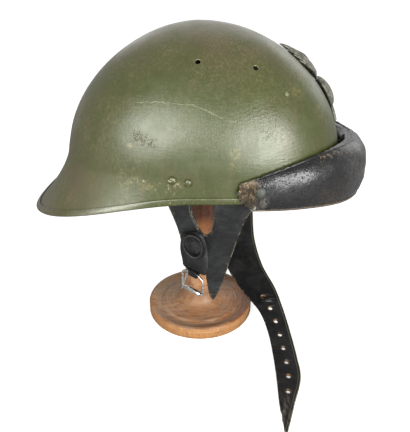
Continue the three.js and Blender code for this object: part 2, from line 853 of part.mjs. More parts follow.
// The head is a flattened ball: a short neck, then an ellipse up to the crown.
const headMiddle = 258;
const headProfile = [{ radius: 13, height: headFoot }, { radius: 22, height: headFoot + 4 }];
for (let degrees = -40; degrees < 80; degrees += 18) {
  const angle = (degrees * Math.PI) / 180;
  headProfile.push({
    radius: headRadius * Math.cos(angle),
    height: headMiddle + (headTop - headMiddle) * Math.sin(angle),
  });
}
headProfile.push({ radius: 6, height: headTop });
addPiece('stand_head', turned(headProfile, 22), turnedWood);

export default part;
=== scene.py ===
import math

import bmesh
import bpy
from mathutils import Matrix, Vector, noise


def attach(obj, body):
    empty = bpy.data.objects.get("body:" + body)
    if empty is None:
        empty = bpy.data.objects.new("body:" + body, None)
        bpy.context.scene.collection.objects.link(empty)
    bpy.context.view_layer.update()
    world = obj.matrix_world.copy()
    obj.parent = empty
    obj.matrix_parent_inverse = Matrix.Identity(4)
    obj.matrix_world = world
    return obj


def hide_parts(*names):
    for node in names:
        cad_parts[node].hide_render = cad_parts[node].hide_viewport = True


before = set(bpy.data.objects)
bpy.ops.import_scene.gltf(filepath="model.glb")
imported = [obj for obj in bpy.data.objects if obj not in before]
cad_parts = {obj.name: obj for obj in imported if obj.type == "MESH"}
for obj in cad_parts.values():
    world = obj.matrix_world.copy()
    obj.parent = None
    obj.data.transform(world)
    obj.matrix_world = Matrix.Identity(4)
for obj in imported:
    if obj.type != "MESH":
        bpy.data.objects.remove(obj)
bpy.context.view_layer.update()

# Table, light and camera: a white table top, two large soft lamps in front and two weak ones behind.
# The camera stands close on the wearer's right, a little above the rim.
mm = 0.001
table_radius = 1.7
lamp_aim = Vector((0, 0, 0.2))

camera_data = bpy.data.cameras.new("camera")
camera_data.lens = 37.08
camera_data.sensor_width = 36
camera = bpy.data.objects.new("camera", camera_data)
camera.location = (0.0052, -0.4, 0.307)
camera.rotation_euler = (math.radians(63.8), 0, 0)
bpy.context.scene.collection.objects.link(camera)
bpy.context.scene.camera = camera


def add_node(tree, kind, inputs=None, **settings):
    """Adds a node to a tree. The inputs hold plain values, or the sockets that feed them."""
    made = tree.nodes.new(kind)
    for key, value in settings.items():
        setattr(made, key, value)
    for key, value in (inputs or {}).items():
        if isinstance(value, bpy.types.NodeSocket):
            tree.links.new(value, made.inputs[key])
        else:
            made.inputs[key].default_value = value
    return made


def worked(kind, inputs, **settings):
    """Adds a node to the tree that its inputs come from."""
    source = next(value for value in inputs.values() if isinstance(value, bpy.types.NodeSocket))
    return add_node(source.id_data, kind, inputs, **settings)


def blend(mask, first, second):
    """Goes from the first colour to the second as the mask goes from 0 to 1."""
    return worked("ShaderNodeMix", {0: mask, 6: first, 7: second}, data_type="RGBA").outputs[2]


def new_material(name, **settings):
    """A material and its Principled shader; the settings go on the shader's own sockets."""
    made = bpy.data.materials.new(name)
    made.use_nodes = True
    shader = made.node_tree.nodes["Principled BSDF"]
    for key, value in settings.items():
        shader.inputs[key.replace("_", " ")].default_value = value
    return made, shader


white_table, table_shader = new_material("white_table", Roughness=0.7, Emission_Strength=0.62)
# The table looks white and throws back less light than that, as a photographed one does.
table_tree = white_table.node_tree
seen = add_node(table_tree, "ShaderNodeLightPath").outputs["Is Camera Ray"]
for socket, unseen_grey, seen_grey in (("Base Color", 0.42, 0.95), ("Emission Color", 0.0, 1.0)):
    table_white = blend(seen, (unseen_grey,) * 3 + (1,), (seen_grey,) * 3 + (1,))
    table_tree.links.new(table_white, table_shader.inputs[socket])

table_shape = bmesh.new()
bmesh.ops.create_circle(table_shape, cap_ends=True, segments=96, radius=table_radius)
table_mesh = bpy.data.meshes.new("table")
table_shape.to_mesh(table_mesh)
table_shape.free()
table_mesh.materials.append(white_table)
table = bpy.data.objects.new("table", table_mesh)
bpy.context.scene.collection.objects.link(table)

for lamp_name, place, size, power in [
    ("front_lamp", (0.93, -1.54, 0.6), 1.35, 44),
    ("rear_lamp", (-0.76, -1.54, 0.96), 1.35, 33),
    ("back_lamp", (0.0, 1.9, 1.3), 2.4, 10),
    ("edge_lamp", (1.3, 1.4, 0.9), 1.2, 4),
]:
    lamp_data = bpy.data.lights.new(lamp_name, "AREA")
    lamp_data.shape = "DISK"
    lamp_data.size = size
    lamp_data.energy = power
    lamp = bpy.data.objects.new(lamp_name, lamp_data)
    lamp.location = place
    lamp.rotation_euler = (Vector(place) - lamp_aim).to_track_quat("Z", "Y").to_euler()
    bpy.context.scene.collection.objects.link(lamp)

sky = bpy.data.worlds.new("studio")
sky.use_nodes = True
sky.node_tree.nodes["Background"].inputs["Color"].default_value = (1, 1, 1, 1)
# The room looks white, shows fairly bright in the paint, and lights the helmet softly.
sky_path = add_node(sky.node_tree, "ShaderNodeLightPath").outputs
sky_light = worked("ShaderNodeMapRange", {"Value": sky_path["Is Glossy Ray"], "To Min": 0.12, "To Max": 0.5})
sky_strength = worked(
    "ShaderNodeMapRange",
    {"Value": sky_path["Is Camera Ray"], "To Min": sky_light.outputs["Result"], "To Max": 1.1},
)
sky.node_tree.links.new(sky_strength.outputs["Result"], sky.node_tree.nodes["Background"].inputs["Strength"])
bpy.context.scene.world = sky
bpy.context.scene.view_settings.view_transform = "Standard"

# Shell: the skull and neck guard are one pressing of 1.2 mm steel, with two vent holes a side.
# It is painted satin olive green by brush, and worn brown at the top, the rear and the edges.
rim_height = 167
skull_x = 5.5
skull_front = 116
skull_rear = 118
skull_half_width = 94
crown_height = 123.5
temple_height = 21
crown_lean = 5
plan_roundness = 2.66
front_roundness = 1.94
rear_roundness = 1.77
guard_reach = 38
guard_drop = 30
dome_share = 0.6
guard_start = 0.52
steel = 1.2
vent_radius = 2.2
# x and height of the vents on one side
vents = [(0, 264.5), (42.4, 260.4)]
shell_segments = 176
shell_rings = 136


def plan_radius(azimuth):
    """The skull's radius seen from above; azimuth 0 is the front."""
    across = abs(math.sin(azimuth)) / skull_half_width
    along = abs(math.cos(azimuth)) / (skull_front if math.cos(azimuth) > 0 else skull_rear)
    return (along ** plan_roundness + across ** plan_roundness) ** (-1 / plan_roundness)


def wall(azimuth, fall):
    """A place on the shell's outer face; fall runs from 0 at the crown to 1 at the rim."""
    forward = math.cos(azimuth)
    rearward = max(-forward, 0)
    radius = plan_radius(azimuth)
    height = temple_height
    lean = 0
    if fall < dome_share:
        roundness = (front_roundness * (1 + forward) + rear_roundness * (1 - forward)) / 2
        angle = fall / dome_share * math.pi / 2
        rise = math.cos(angle) ** (2 / roundness)
        radius *= math.sin(angle) ** (2 / roundness)
        height += (crown_height - temple_height) * rise
        lean = crown_lean * rise
    else:
        share = (fall - dome_share) / (1 - dome_share)
        height -= (temple_height + guard_drop * rearward ** 3.1) * share
    sweep_share = max(fall - guard_start, 0) / (1 - guard_start)
    radius += guard_reach * rearward ** 2.5 * sweep_share ** 1.6
    return Vector((skull_x + radius * forward - lean, radius * math.sin(azimuth), rim_height + height))


def wall_normal(azimuth, fall):
    """The way out from the shell's outer face."""
    step = 0.001
    low = min(fall + step, 1)
    down = wall(azimuth, low) - wall(azimuth, low - 2 * step)
    across = wall(azimuth + step, fall) - wall(azimuth - step, fall)
    return down.cross(across).normalized()


def off_wall(azimuth, fall, out):
    """A place at a distance out from the shell's outer face."""
    return wall(azimuth, fall) + wall_normal(azimuth, fall) * out


def find_on_wall(x, height):
    """The azimuth and fall of the place at x and height on the wearer's right."""
    azimuth, fall, reach = -90, 0.5, 40

    def miss(place):
        found = wall(math.radians(place[0]), min(max(place[1], 0.02), 1))
        return (found.x - x) ** 2 + (found.z - height) ** 2

    for _ in range(70):
        choices = [(azimuth + i * reach, fall + j * reach / 100) for i in (-1, 0, 1) for j in (-1, 0, 1)]
        azimuth, fall = min(choices, key=miss)
        reach *= 0.85
    return math.radians(azimuth), fall


def show(name, shape, finish, nodes, body="helmet_and_stand"):
    """Turns a finished shape in millimetres into a piece that rides on a body in place of its solids."""
    bmesh.ops.scale(shape, vec=(mm, mm, mm), verts=shape.verts)
    mesh = bpy.data.meshes.new(name)
    shape.to_mesh(mesh)
    shape.free()
    mesh.shade_smooth()
    mesh.set_sharp_from_angle(angle=math.radians(60))
    mesh.materials.append(finish.material)
    piece = bpy.data.objects.new(name, mesh)
    bpy.context.scene.collection.objects.link(piece)
    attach(piece, body)
    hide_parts(*nodes)
    return piece


def whole(shape):
    return shape.verts[:] + shape.edges[:] + shape.faces[:]


def extrude(shape, edges):
    """Extrudes a line of edges where it stands; gives the new corners and the new line of edges."""
    made = bmesh.ops.extrude_edge_only(shape, edges=edges)["geom"]
    new_verts = {item for item in made if isinstance(item, bmesh.types.BMVert)}
    new_edges = [item for item in made if isinstance(item, bmesh.types.BMEdge)]
    return new_verts, [edge for edge in new_edges if new_verts.issuperset(edge.verts)]


def cut_round_hole(shape, place, radius):
    """Opens a round hole in a sheet: the faces about the place go, and rings join their edge to the hole."""
    shape.normal_update()
    reach = radius * 2.2
    near_faces = [face for face in shape.faces if (face.calc_center_median() - place).length < reach]
    way_out = sum((face.normal for face in near_faces), Vector()).normalized()
    edges = [edge for edge in shape.edges if sum(face in near_faces for face in edge.link_faces) == 1]
    bmesh.ops.delete(shape, geom=near_faces, context="FACES")
    for ring_radius in (radius * 1.35, radius):
        ring, edges = extrude(shape, edges)
        for vert in ring:
            away = vert.co - place
            away -= way_out * away.dot(way_out)
            vert.co = place + away.normalized() * ring_radius


shell_shape = bmesh.new()
bmesh.ops.create_uvsphere(shell_shape, u_segments=shell_segments, v_segments=shell_rings, radius=1)
bmesh.ops.bisect_plane(
    shell_shape, geom=whole(shell_shape), dist=0.0001, plane_co=(0, 0, 0), plane_no=(0, 0, 1),
    clear_inner=True,
)
for corner in shell_shape.verts:
    fall = math.acos(min(max(corner.co.z, 0), 1)) / (math.pi / 2)
    corner.co = wall(math.atan2(corner.co.y, corner.co.x), fall)
near_crown = [vert for vert in shell_shape.verts if vert.co.z > rim_height + crown_height - 4]
for _ in range(8):
    bmesh.ops.smooth_vert(
        shell_shape, verts=near_crown, factor=0.5, use_axis_x=True, use_axis_y=True, use_axis_z=True,
    )
vent_places = []
for vent in vents:
    azimuth, fall = find_on_wall(*vent)
    vent_places += [wall(azimuth * side, fall) for side in (1, -1)]
for place in vent_places:
    cut_round_hole(shell_shape, place, vent_radius)
bmesh.ops.recalc_face_normals(shell_shape, faces=shell_shape.faces)


def group(name, inputs):
    """A shader node group that puts out a mask. The inputs are {name: (socket kind, default)}."""
    made = bpy.data.node_groups.new(name, "ShaderNodeTree")
    for key, (kind, default) in inputs.items():
        made.interface.new_socket(key, in_out="INPUT", socket_type=kind).default_value = default
    made.interface.new_socket("Mask", in_out="OUTPUT", socket_type="NodeSocketFloat")
    return made, add_node(made, "NodeGroupInput").outputs, add_node(made, "NodeGroupOutput").inputs["Mask"]


def maths(operation, first, second=0.0):
    """One sum on values or sockets."""
    return worked("ShaderNodeMath", {0: first, 1: second}, operation=operation).outputs[0]


def times(product, *others):
    for other in others:
        product = maths("MULTIPLY", product, other)
    return product


def plus(first, second):
    return maths("ADD", first, second)


def minus(first, second):
    return maths("SUBTRACT", first, second)


def highest(first, second):
    return maths("MAXIMUM", first, second)


def vectors(operation, first, second=(0, 0, 0), result="Vector"):
    """One sum on vectors."""
    return worked("ShaderNodeVectorMath", {0: first, 1: second}, operation=operation).outputs[result]


def spread(value, low, high, to_low=0.0, to_high=1.0):
    """Spreads a value between two limits, smoothly and clamped."""
    limits = {"Value": value, "From Min": low, "From Max": high, "To Min": to_low, "To Max": to_high}
    return worked("ShaderNodeMapRange", limits, interpolation_type="SMOOTHSTEP").outputs["Result"]


def mottle(place, scale, detail=4.0, rough=0.55, twist=0.0):
    """Cloudy noise from 0 to 1."""
    inputs = {"Vector": place, "Scale": scale, "Detail": detail, "Roughness": rough, "Distortion": twist}
    return worked("ShaderNodeTexNoise", inputs).outputs["Fac"]


def stretched(place, factors, turn=(0, 0, 0)):
    """The place, turned and then stretched, for marks that run one way."""
    inputs = {"Vector": place, "Scale": factors, "Rotation": turn}
    return worked("ShaderNodeMapping", inputs).outputs["Vector"]


# Small chips and specks: noise cut off high, broken up by a coarser noise, so that they come in drifts.
chips, chips_in, chips_out = group(
    "chips",
    {
        "Place": ("NodeSocketVector", (0, 0, 0)),
        "Scale": ("NodeSocketFloat", 400.0),
        "Amount": ("NodeSocketFloat", 0.3),
    },
)
fine_noise = mottle(chips_in["Place"], chips_in["Scale"], 3.0, 0.6)
drift_noise = mottle(chips_in["Place"], times(chips_in["Scale"], 0.11), 2.0)
chip_level = plus(fine_noise, times(drift_noise, 0.5))
chip_floor = minus(1.06, times(chips_in["Amount"], 0.3))
chips.links.new(spread(chip_level, chip_floor, plus(chip_floor, 0.05)), chips_out)

# A scratch or rub: how near a place is to a straight line between two points.
scratch, scratch_in, scratch_out = group(
    "scratch",
    {
        "Place": ("NodeSocketVector", (0, 0, 0)),
        "Start": ("NodeSocketVector", (0, 0, 0)),
        "End": ("NodeSocketVector", (0, 0, 1)),
        "Width": ("NodeSocketFloat", 0.001),
    },
)
from_start = vectors("SUBTRACT", scratch_in["Place"], scratch_in["Start"])
whole_line = vectors("SUBTRACT", scratch_in["End"], scratch_in["Start"])
along_line = vectors("DOT_PRODUCT", from_start, whole_line, "Value")
line_square = vectors("DOT_PRODUCT", whole_line, whole_line, "Value")
line_share = worked("ShaderNodeMath", {0: along_line, 1: line_square}, operation="DIVIDE", use_clamp=True)
nearest = worked("ShaderNodeVectorMath", {0: whole_line, "Scale": line_share.outputs[0]}, operation="SCALE")
line_gap = vectors("DISTANCE", from_start, nearest.outputs["Vector"], "Value")
scratch.links.new(spread(line_gap, scratch_in["Width"], 0.0), scratch_out)


def chip_mask(place, scale, amount):
    """Places the chips group."""
    inputs = {"Place": place, "Scale": scale, "Amount": amount}
    return worked("ShaderNodeGroup", inputs, node_tree=chips).outputs["Mask"]


def scratch_mask(place, start, end, width):
    """Places the scratch group; the points and the width are millimetres."""
    inputs = {"Place": place, "Start": Vector(start) * mm, "End": Vector(end) * mm, "Width": width * mm}
    return worked("ShaderNodeGroup", inputs, node_tree=scratch).outputs["Mask"]


def near_spot(place, centre, inner, outer):
    """A soft round mask about a centre, all in millimetres."""
    return spread(vectors("DISTANCE", place, Vector(centre) * mm, "Value"), outer * mm, inner * mm)


def fine_lines(place, scale, width):
    """Thin wandering lines, where a noise crosses its middle value: crackle and curls."""
    level = mottle(place, scale, 5.0, 0.55, 1.4)
    return spread(maths("ABSOLUTE", minus(level, 0.5)), width, 0.0)


class Finish:
    """A finish as it is worked up: the place on the piece, in metres in the shared frame, and the colour,
    gloss and height that will feed the shader."""

    def __init__(self, name, **settings):
        self.material, self.shader = new_material(name, **settings)
        self.tree = self.material.node_tree
        self.place = add_node(self.tree, "ShaderNodeTexCoord").outputs["Object"]
        self.gloss = None

    def part(self, axis):
        """One axis of the place."""
        return worked("ShaderNodeSeparateXYZ", {"Vector": self.place}).outputs[axis]

    def attribute(self, name):
        """A number that the mesh holds at its corners."""
        return add_node(self.tree, "ShaderNodeAttribute", attribute_name=name).outputs["Fac"]

    def tint(self, colour, mask, *strengths):
        """Lays a colour over the present one, as strong as the mask times the strengths."""
        self.colour = blend(times(mask, *strengths), self.colour, colour)

    def lift(self, height, amount):
        self.height = plus(self.height, times(height, amount))

    def sink(self, height, amount):
        self.height = minus(self.height, times(height, amount))

    def apply(self, depth=None):
        """Feeds the shader what there is; the depth of the height is millimetres."""
        self.tree.links.new(self.colour, self.shader.inputs["Base Color"])
        if self.gloss:
            self.tree.links.new(self.gloss, self.shader.inputs["Roughness"])
        if depth:
            bump = worked("ShaderNodeBump", {"Height": self.height, "Distance": depth * mm})
            self.tree.links.new(bump.outputs["Normal"], self.shader.inputs["Normal"])


olive = (0.034, 0.043, 0.007, 1)
olive_light = (0.052, 0.062, 0.013, 1)
patina = (0.078, 0.06, 0.028, 1)
freckle = (0.15, 0.132, 0.055, 1)
ochre = (0.3, 0.235, 0.09, 1)
cream_chip = (0.5, 0.46, 0.27, 1)
rust = (0.06, 0.033, 0.018, 1)


def paint(name, chip_amount):
    """Brushed olive paint: two greens, a brown patina, ochre smudges and specks, and fine brush marks."""
    made = Finish(name, Specular_IOR_Level=0.85, Specular_Tint=(0.98, 1, 0.92, 1))
    place = made.place
    upright = stretched(place, (1, 1, 0.22))
    patches = spread(mottle(place, 16.0, 5.0, 0.6, 0.4), 0.35, 0.66)
    streaks = spread(mottle(upright, 260.0, 5.0, 0.7, 0.3), 0.34, 0.68)
    made.colour = blend(plus(times(patches, 0.55), times(streaks, 0.45)), olive, olive_light)
    high = spread(made.part("Z"), 0.24, 0.287)
    rear = spread(made.part("X"), -0.04, -0.11)
    worn_side = highest(high, rear)
    clouds = spread(mottle(place, 30.0, 7.0, 0.66, 0.7), 0.38, 0.62)
    worn = times(worn_side, plus(0.3, times(clouds, 0.62)))
    smudges = spread(mottle(upright, 48.0, 7.0, 0.72, 0.5), 0.5, 0.68)
    made.tint(patina, highest(worn, times(smudges, 0.55)))
    short_marks = stretched(place, (1, 1, 0.38), (0.1, 0.12, 0))
    freckles = spread(mottle(short_marks, 540.0, 6.0, 0.72, 0.6), 0.47, 0.64)
    drifts = spread(mottle(place, 26.0, 5.0, 0.6), 0.4, 0.62, 0.12, 1.0)
    made.tint(freckle, freckles, drifts, plus(0.34, times(worn_side, 0.3)))
    specks = chip_mask(place, 620.0, chip_amount)
    made.tint(ochre, specks, 0.6)
    made.tint(rust, chip_mask(place, 1100.0, 0.36), 0.45)
    made.gloss = spread(mottle(place, 75.0, 6.0, 0.65), 0.3, 0.7, 0.28, 0.4)
    brush = mottle(stretched(place, (1, 1, 4), (0.1, 0.2, 0.1)), 150.0, 5.0, 0.6)
    made.height = plus(times(brush, 0.85), times(mottle(place, 900.0, 2.0), 0.1))
    made.lift(mottle(upright, 420.0, 4.0, 0.65), 0.75)
    made.sink(specks, 0.35)
    return made


shell_paint = paint("shell_paint", 0.24)
on_steel = shell_paint.place
# x and height of the long scratch's corners
scratch_line = [
    (-44, 238.6), (-26, 239.6), (-4.9, 238), (4, 235.4), (12, 232), (21.5, 227.6), (30, 226.6),
]


def on_shell(x, height):
    """A place on the shell's outer face on the wearer's right."""
    return wall(*find_on_wall(x, height))


scratch_noise = worked("ShaderNodeTexNoise", {"Vector": on_steel, "Scale": 220.0, "Detail": 3.0})
wobble = vectors("SUBTRACT", scratch_noise.outputs["Color"], (0.5, 0.5, 0.5))
wobbled = worked(
    "ShaderNodeVectorMath", {0: wobble, 1: (0.0035, 0.0035, 0.0035), 2: on_steel}, operation="MULTIPLY_ADD",
).outputs["Vector"]
scratch_marks = 0.0
for line_start, line_end in zip(scratch_line, scratch_line[1:]):
    mark = scratch_mask(wobbled, on_shell(*line_start), on_shell(*line_end), 1.0)
    scratch_marks = highest(mark, scratch_marks)
broken = spread(mottle(on_steel, 300.0, 3.0), 0.35, 0.55, 0.3, 1.0)
scratch_marks = times(spread(scratch_marks, 0.35, 0.95), broken)
shell_paint.tint(cream_chip, scratch_marks, 0.15)

# x, height, inner and outer radius, colour, strength
rub_spots = [
    (-49.8, 209.6, 0.6, 2.8, ochre, 0.9),
    (0.8, 287.1, 2, 9, rust, 0.8),
    (-43.5, 213, 0.5, 2.6, freckle, 0.9),
    (28, 205, 1, 8, ochre, 0.35),
    (27, 197, 1, 7, ochre, 0.25),
    (66, 243, 0.6, 2.6, cream_chip, 0.8),
    (74, 244, 1, 9, ochre, 0.3),
    (96, 226, 2, 16, ochre, 0.22),
    (99, 214, 2, 14, patina, 0.6),
    (-13, 186, 3, 13, patina, 0.9),
    (-15, 181.5, 0.5, 4, cream_chip, 0.5),
    (-52, 184, 2, 13, freckle, 0.7),
    (-38, 181, 1, 9, ochre, 0.3),
    (22, 256, 3, 24, patina, 0.5),
]
spot_break = spread(mottle(on_steel, 330.0, 6.0, 0.72), 0.44, 0.62)
for x, height, inner, outer, colour, strength in rub_spots:
    shell_paint.tint(colour, near_spot(on_steel, on_shell(x, height), inner, outer), spot_break, strength)
# A pale ring round each vent: chipped paint, and a painted highlight on the hole's edge.
for place in vent_places:
    shell_paint.tint(cream_chip, near_spot(on_steel, place, vent_radius, vent_radius + 0.9), 0.06)

# Dark scrapes on the rear flank, and flakes of paint above the rim.
scrape_zone = scratch_mask(wobbled, on_shell(-45, 216), on_shell(-33, 212), 6.5)
scrape_place = stretched(on_steel, (1, 1, 0.5), (0.3, 0.6, 0))
scrapes = times(spread(mottle(scrape_place, 560.0, 6.0, 0.8), 0.5, 0.58), scrape_zone)
shell_paint.tint(rust, scrapes, 0.75)
flake_row = scratch_mask(wobbled, on_shell(-64, 187), on_shell(-12, 180), 9)
shell_paint.tint(cream_chip, chip_mask(on_steel, 480.0, 0.5), flake_row, 0.55)

# Curls of paint on the front flank.
curl_zone = near_spot(on_steel, on_shell(54, 221), 3, 18)
curl_lines = times(fine_lines(stretched(on_steel, (1, 1, 0.55), (0, 0.4, 0)), 120.0, 0.018), curl_zone)
shell_paint.tint(rust, curl_lines, 0.08)

# Ripples from the brush, and the relief of the other marks.
ripple_zone = highest(
    near_spot(on_steel, on_shell(46, 240), 8, 30), near_spot(on_steel, on_shell(60, 209), 8, 26),
)
ripple = worked(
    "ShaderNodeTexWave",
    {
        "Vector": stretched(on_steel, (1, 1, 1), (0, 0.25, 0)),
        "Scale": 115.0, "Distortion": 7.0, "Detail": 4.0, "Detail Scale": 1.5,
    },
    bands_direction="Z",
)
shell_paint.lift(times(ripple.outputs["Fac"], ripple_zone), 0.2)
shell_paint.lift(curl_lines, 0.45)
shell_paint.sink(scrapes, 0.8)
shell_paint.lift(scratch_marks, 0.6)
# The neck guard is rubbed duller than the skull.
guard_low = near_spot(on_steel, (-80, -60, 168), 20, 62)
shell_paint.gloss = plus(shell_paint.gloss, times(guard_low, 0.2))
shell_paint.apply(0.12)

shell = show("helmet_shell", shell_shape, shell_paint, ["shell"])
shell_sheet = shell.modifiers.new("sheet_steel", "SOLIDIFY")
shell_sheet.thickness = steel * mm
shell_sheet.offset = -1
shell_sheet.use_even_offset = True

# Edge strip: a narrow steel strip, folded over the shell's raw edge all round and pinched tight.
# It is painted with the shell, and more worn.

# out from the steel, up from the edge
band_section = [
    (0.3, 4.2), (0.75, 4.35), (1.1, 4.0), (1.25, 3.0), (1.3, 0.4), (1.05, -0.7), (0.3, -1.2),
    (-1.5, -1.2), (-2.25, -0.7), (-2.5, 0.4), (-2.45, 3.0), (-2.3, 4.0), (-1.95, 4.35), (-1.5, 4.2),
    (-1.5, -0.4), (0.3, -0.4),
]
band_steps = 192


def sweep(shape, corners, stations, place, closed=False):
    """Draws a ring of corners through a row of stations. place(station, corner) says where each one lies."""
    ring = bmesh.ops.create_circle(shape, segments=corners, radius=1)["verts"]
    first_edges = [edge for edge in shape.edges if edge.verts[0] in ring and edge.verts[1] in ring]
    for corner, vert in enumerate(ring):
        vert.co = place(0, corner)
    edges = first_edges
    for station in range(1, stations):
        new_verts, edges = extrude(shape, edges)
        ring = [
            next(edge.other_vert(vert) for edge in vert.link_edges if edge.other_vert(vert) in new_verts)
            for vert in ring
        ]
        for corner, vert in enumerate(ring):
            vert.co = place(station, corner)
    if closed:
        bmesh.ops.bridge_loops(shape, edges=first_edges + edges)
    else:
        bmesh.ops.holes_fill(shape, edges=first_edges + edges, sides=0)
    bmesh.ops.recalc_face_normals(shape, faces=shape.faces)
    return ring


def band_place(station, corner):
    azimuth = 2 * math.pi * station / band_steps
    out, up = band_section[corner]
    edge = wall(azimuth, 1)
    rise = (wall(azimuth, 0.94) - edge).normalized()
    return edge + wall_normal(azimuth, 1) * out + rise * up


band_shape = bmesh.new()
sweep(band_shape, len(band_section), band_steps, band_place, closed=True)
band_paint = paint("edge_strip_paint", 0.45)
# The strip is painted paler along the rear flank: a painted highlight, and rubbed paint.
pale_highlight_and_rub = near_spot(band_paint.place, (-68, -78, 158), 10, 42)
pale_break = spread(mottle(band_paint.place, 120.0, 6.0, 0.7), 0.3, 0.6, 0.35, 1.0)
band_paint.tint((0.22, 0.22, 0.165, 1), pale_highlight_and_rub, pale_break, 0.75)
band_paint.gloss = minus(band_paint.gloss, 0.04)
band_paint.apply(0.12)
show("edge_strip", band_shape, band_paint, ["rim_band"])

# Rivets: soft steel, driven through shell and strap and headed over inside.
# The side rivets have domed heads, painted with the shell.
# The pad's rivets have wider, flatter heads, left bare and gone grey.

# name, x, height, how far out the head sits, its width and its height against a side rivet's
rivets = [
    ("side_rivet_rear", -19, 185.5, 0, 1, 1),
    ("side_rivet_front", -7.3, 183.5, 0, 1, 1),
    ("pad_rivet", 45.3, 178, 7.9, 1.22, 0.85),
]
rivet_inner = 5.8
shank_radius = 1.6
turned_steps = 28


def spun(shape, profile, steps):
    """Turns a profile of (radius, height) about +Z into a closed solid."""
    verts = [shape.verts.new((radius, 0, height)) for radius, height in profile]
    edges = [shape.edges.new(pair) for pair in zip(verts, verts[1:])]
    bmesh.ops.spin(
        shape, geom=verts + edges, cent=(0, 0, 0), axis=(0, 0, 1), angle=2 * math.pi,
        steps=steps, use_merge=True,
    )
    bmesh.ops.remove_doubles(shape, verts=shape.verts, dist=0.0005)
    bmesh.ops.recalc_face_normals(shape, faces=shape.faces)


rivet_paint = paint("rivet_paint", 0.5)
rivet_paint.tint(cream_chip, chip_mask(rivet_paint.place, 330.0, 0.75), 0.75)
rivet_paint.apply(0.15)

bare_steel = Finish("bare_rivet_steel", Metallic=0.25)
bare_dirt = spread(mottle(bare_steel.place, 260.0, 6.0, 0.7), 0.36, 0.64)
bare_steel.colour = blend(bare_dirt, (0.03, 0.033, 0.026, 1), (0.085, 0.092, 0.078, 1))
bare_steel.gloss = spread(mottle(bare_steel.place, 400.0), 0.3, 0.7, 0.52, 0.7)
bare_steel.height = mottle(bare_steel.place, 700.0, 4.0, 0.65)
bare_steel.apply(0.2)

for rivet_name, rivet_x, rivet_height, seat, wide, tall in rivets:
    azimuth, fall = find_on_wall(rivet_x, rivet_height)
    under = seat + 0.25
    rivet_profile = [
        (0, under + 2.0 * tall), (1.1 * wide, under + 1.92 * tall), (2.1 * wide, under + 1.55 * tall),
        (2.9 * wide, under + 0.9 * tall), (3.3 * wide, under + 0.15), (3.25 * wide, under),
        (shank_radius, under), (shank_radius, -rivet_inner), (2.8, -rivet_inner), (2.5, -rivet_inner - 0.7),
        (shank_radius, -rivet_inner - 1.0), (0, -rivet_inner - 1.05),
    ]
    for side_name, side in (("right", 1), ("left", -1)):
        rivet_shape = bmesh.new()
        spun(rivet_shape, rivet_profile, turned_steps)
        way_out = wall_normal(azimuth * side, fall)
        turn = Vector((0, 0, 1)).rotation_difference(way_out).to_matrix()
        bmesh.ops.rotate(rivet_shape, verts=rivet_shape.verts, matrix=turn)
        bmesh.ops.translate(rivet_shape, verts=rivet_shape.verts, vec=wall(azimuth * side, fall))
        node = f"{rivet_name}_{side_name}"
        show(f"{node}_head", rivet_shape, bare_steel if seat else rivet_paint, [node])

# Brow pad: black leather sewn over a stuffed roll, with a welt along the top and a seam along the bottom.
# It thins to a flat tab at each end, and a rivet holds each tab to the shell and the chin strap.
pad_inset = 1.6
pad_end = 75.3
pad_stations = 150
# azimuth, thickness, bottom, top, how far the top edge stands off the steel, how square the top corner is
pad_table = [
    (0, 28, 150.5, 198, 8, 0.36),
    (15, 24, 152, 199.5, 3, 0.38),
    (30, 17.5, 157, 202, 0, 0.45),
    (45, 11, 160.5, 199.5, 0, 0.6),
    (60, 6.4, 161.5, 192, 0, 0.6),
    (68, 4.4, 161.5, 187, 0, 0.6),
    (75.3, 3, 161.5, 182.5, 0, 0.6),
]
pad_slant = 0.075
seam_share = 0.78


def read(table, column, at):
    """Reads a column of a table at a place in its first column, along a smooth curve through the rows."""
    rows = [(row[0], row[column]) for row in table]
    if at <= rows[0][0]:
        return rows[0][1]
    if at >= rows[-1][0]:
        return rows[-1][1]
    i = next(index for index, row in enumerate(rows) if row[0] >= at)
    before, start, end, after = rows[max(i - 2, 0)], rows[i - 1], rows[i], rows[min(i + 1, len(rows) - 1)]
    span = end[0] - start[0]
    slope_start = (end[1] - before[1]) / (end[0] - before[0]) * span
    slope_end = (after[1] - start[1]) / (after[0] - start[0]) * span
    t = (at - start[0]) / span
    first = (2 * t ** 3 - 3 * t ** 2 + 1) * start[1] + (t ** 3 - 2 * t ** 2 + t) * slope_start
    return first + (3 * t ** 2 - 2 * t ** 3) * end[1] + (t ** 3 - t ** 2) * slope_end


def off_brow(degrees, rise, away):
    """A place out from the pad's back; rise is -1 at the bottom and 1 at the top. The ends are cut ragged."""
    at = abs(degrees)
    near_end = at / pad_end
    ragged = noise.noise(Vector((rise * 5, degrees, 0))) * 0.016 * near_end ** 60
    kept = 1 - pad_slant * max(-rise, 0) * near_end ** 8 + ragged
    azimuth = math.radians(degrees * kept)
    bottom, top = read(pad_table, 2, at), read(pad_table, 3, at)
    out = wall_normal(azimuth, dome_share)
    out.z = 0
    place = wall(azimuth, dome_share) + out.normalized() * (pad_inset + away)
    place.z = (bottom + top) / 2 + (top - bottom) / 2 * rise
    return place


def pad_place(degrees, rise, sink=0.0):
    """A place on the pad's outer side, sunk by a depth."""
    thick, lip, square = (read(pad_table, column, abs(degrees)) for column in (1, 4, 5))
    roundness = 2 + max(1 - abs(degrees) / 40, 0)
    bulge = (1 - rise ** roundness) ** square if rise > 0 else seam_share + (1 - seam_share) * (1 + rise ** 3)
    rest = lip * rise ** 2 if rise > 0 else 0
    return off_brow(degrees, rise, rest + (thick - rest) * bulge - sink)


pad_front = 30
pad_back = [(1, 0.4), (0.75, 0.4), (0.4, 0.3), (0, 0.1), (-0.3, 0), (-0.6, 0), (-0.85, 0), (-1, 0)]
seam_rise = -0.84


def pad_degrees(station):
    return pad_end * (2 * station / (pad_stations - 1) - 1)


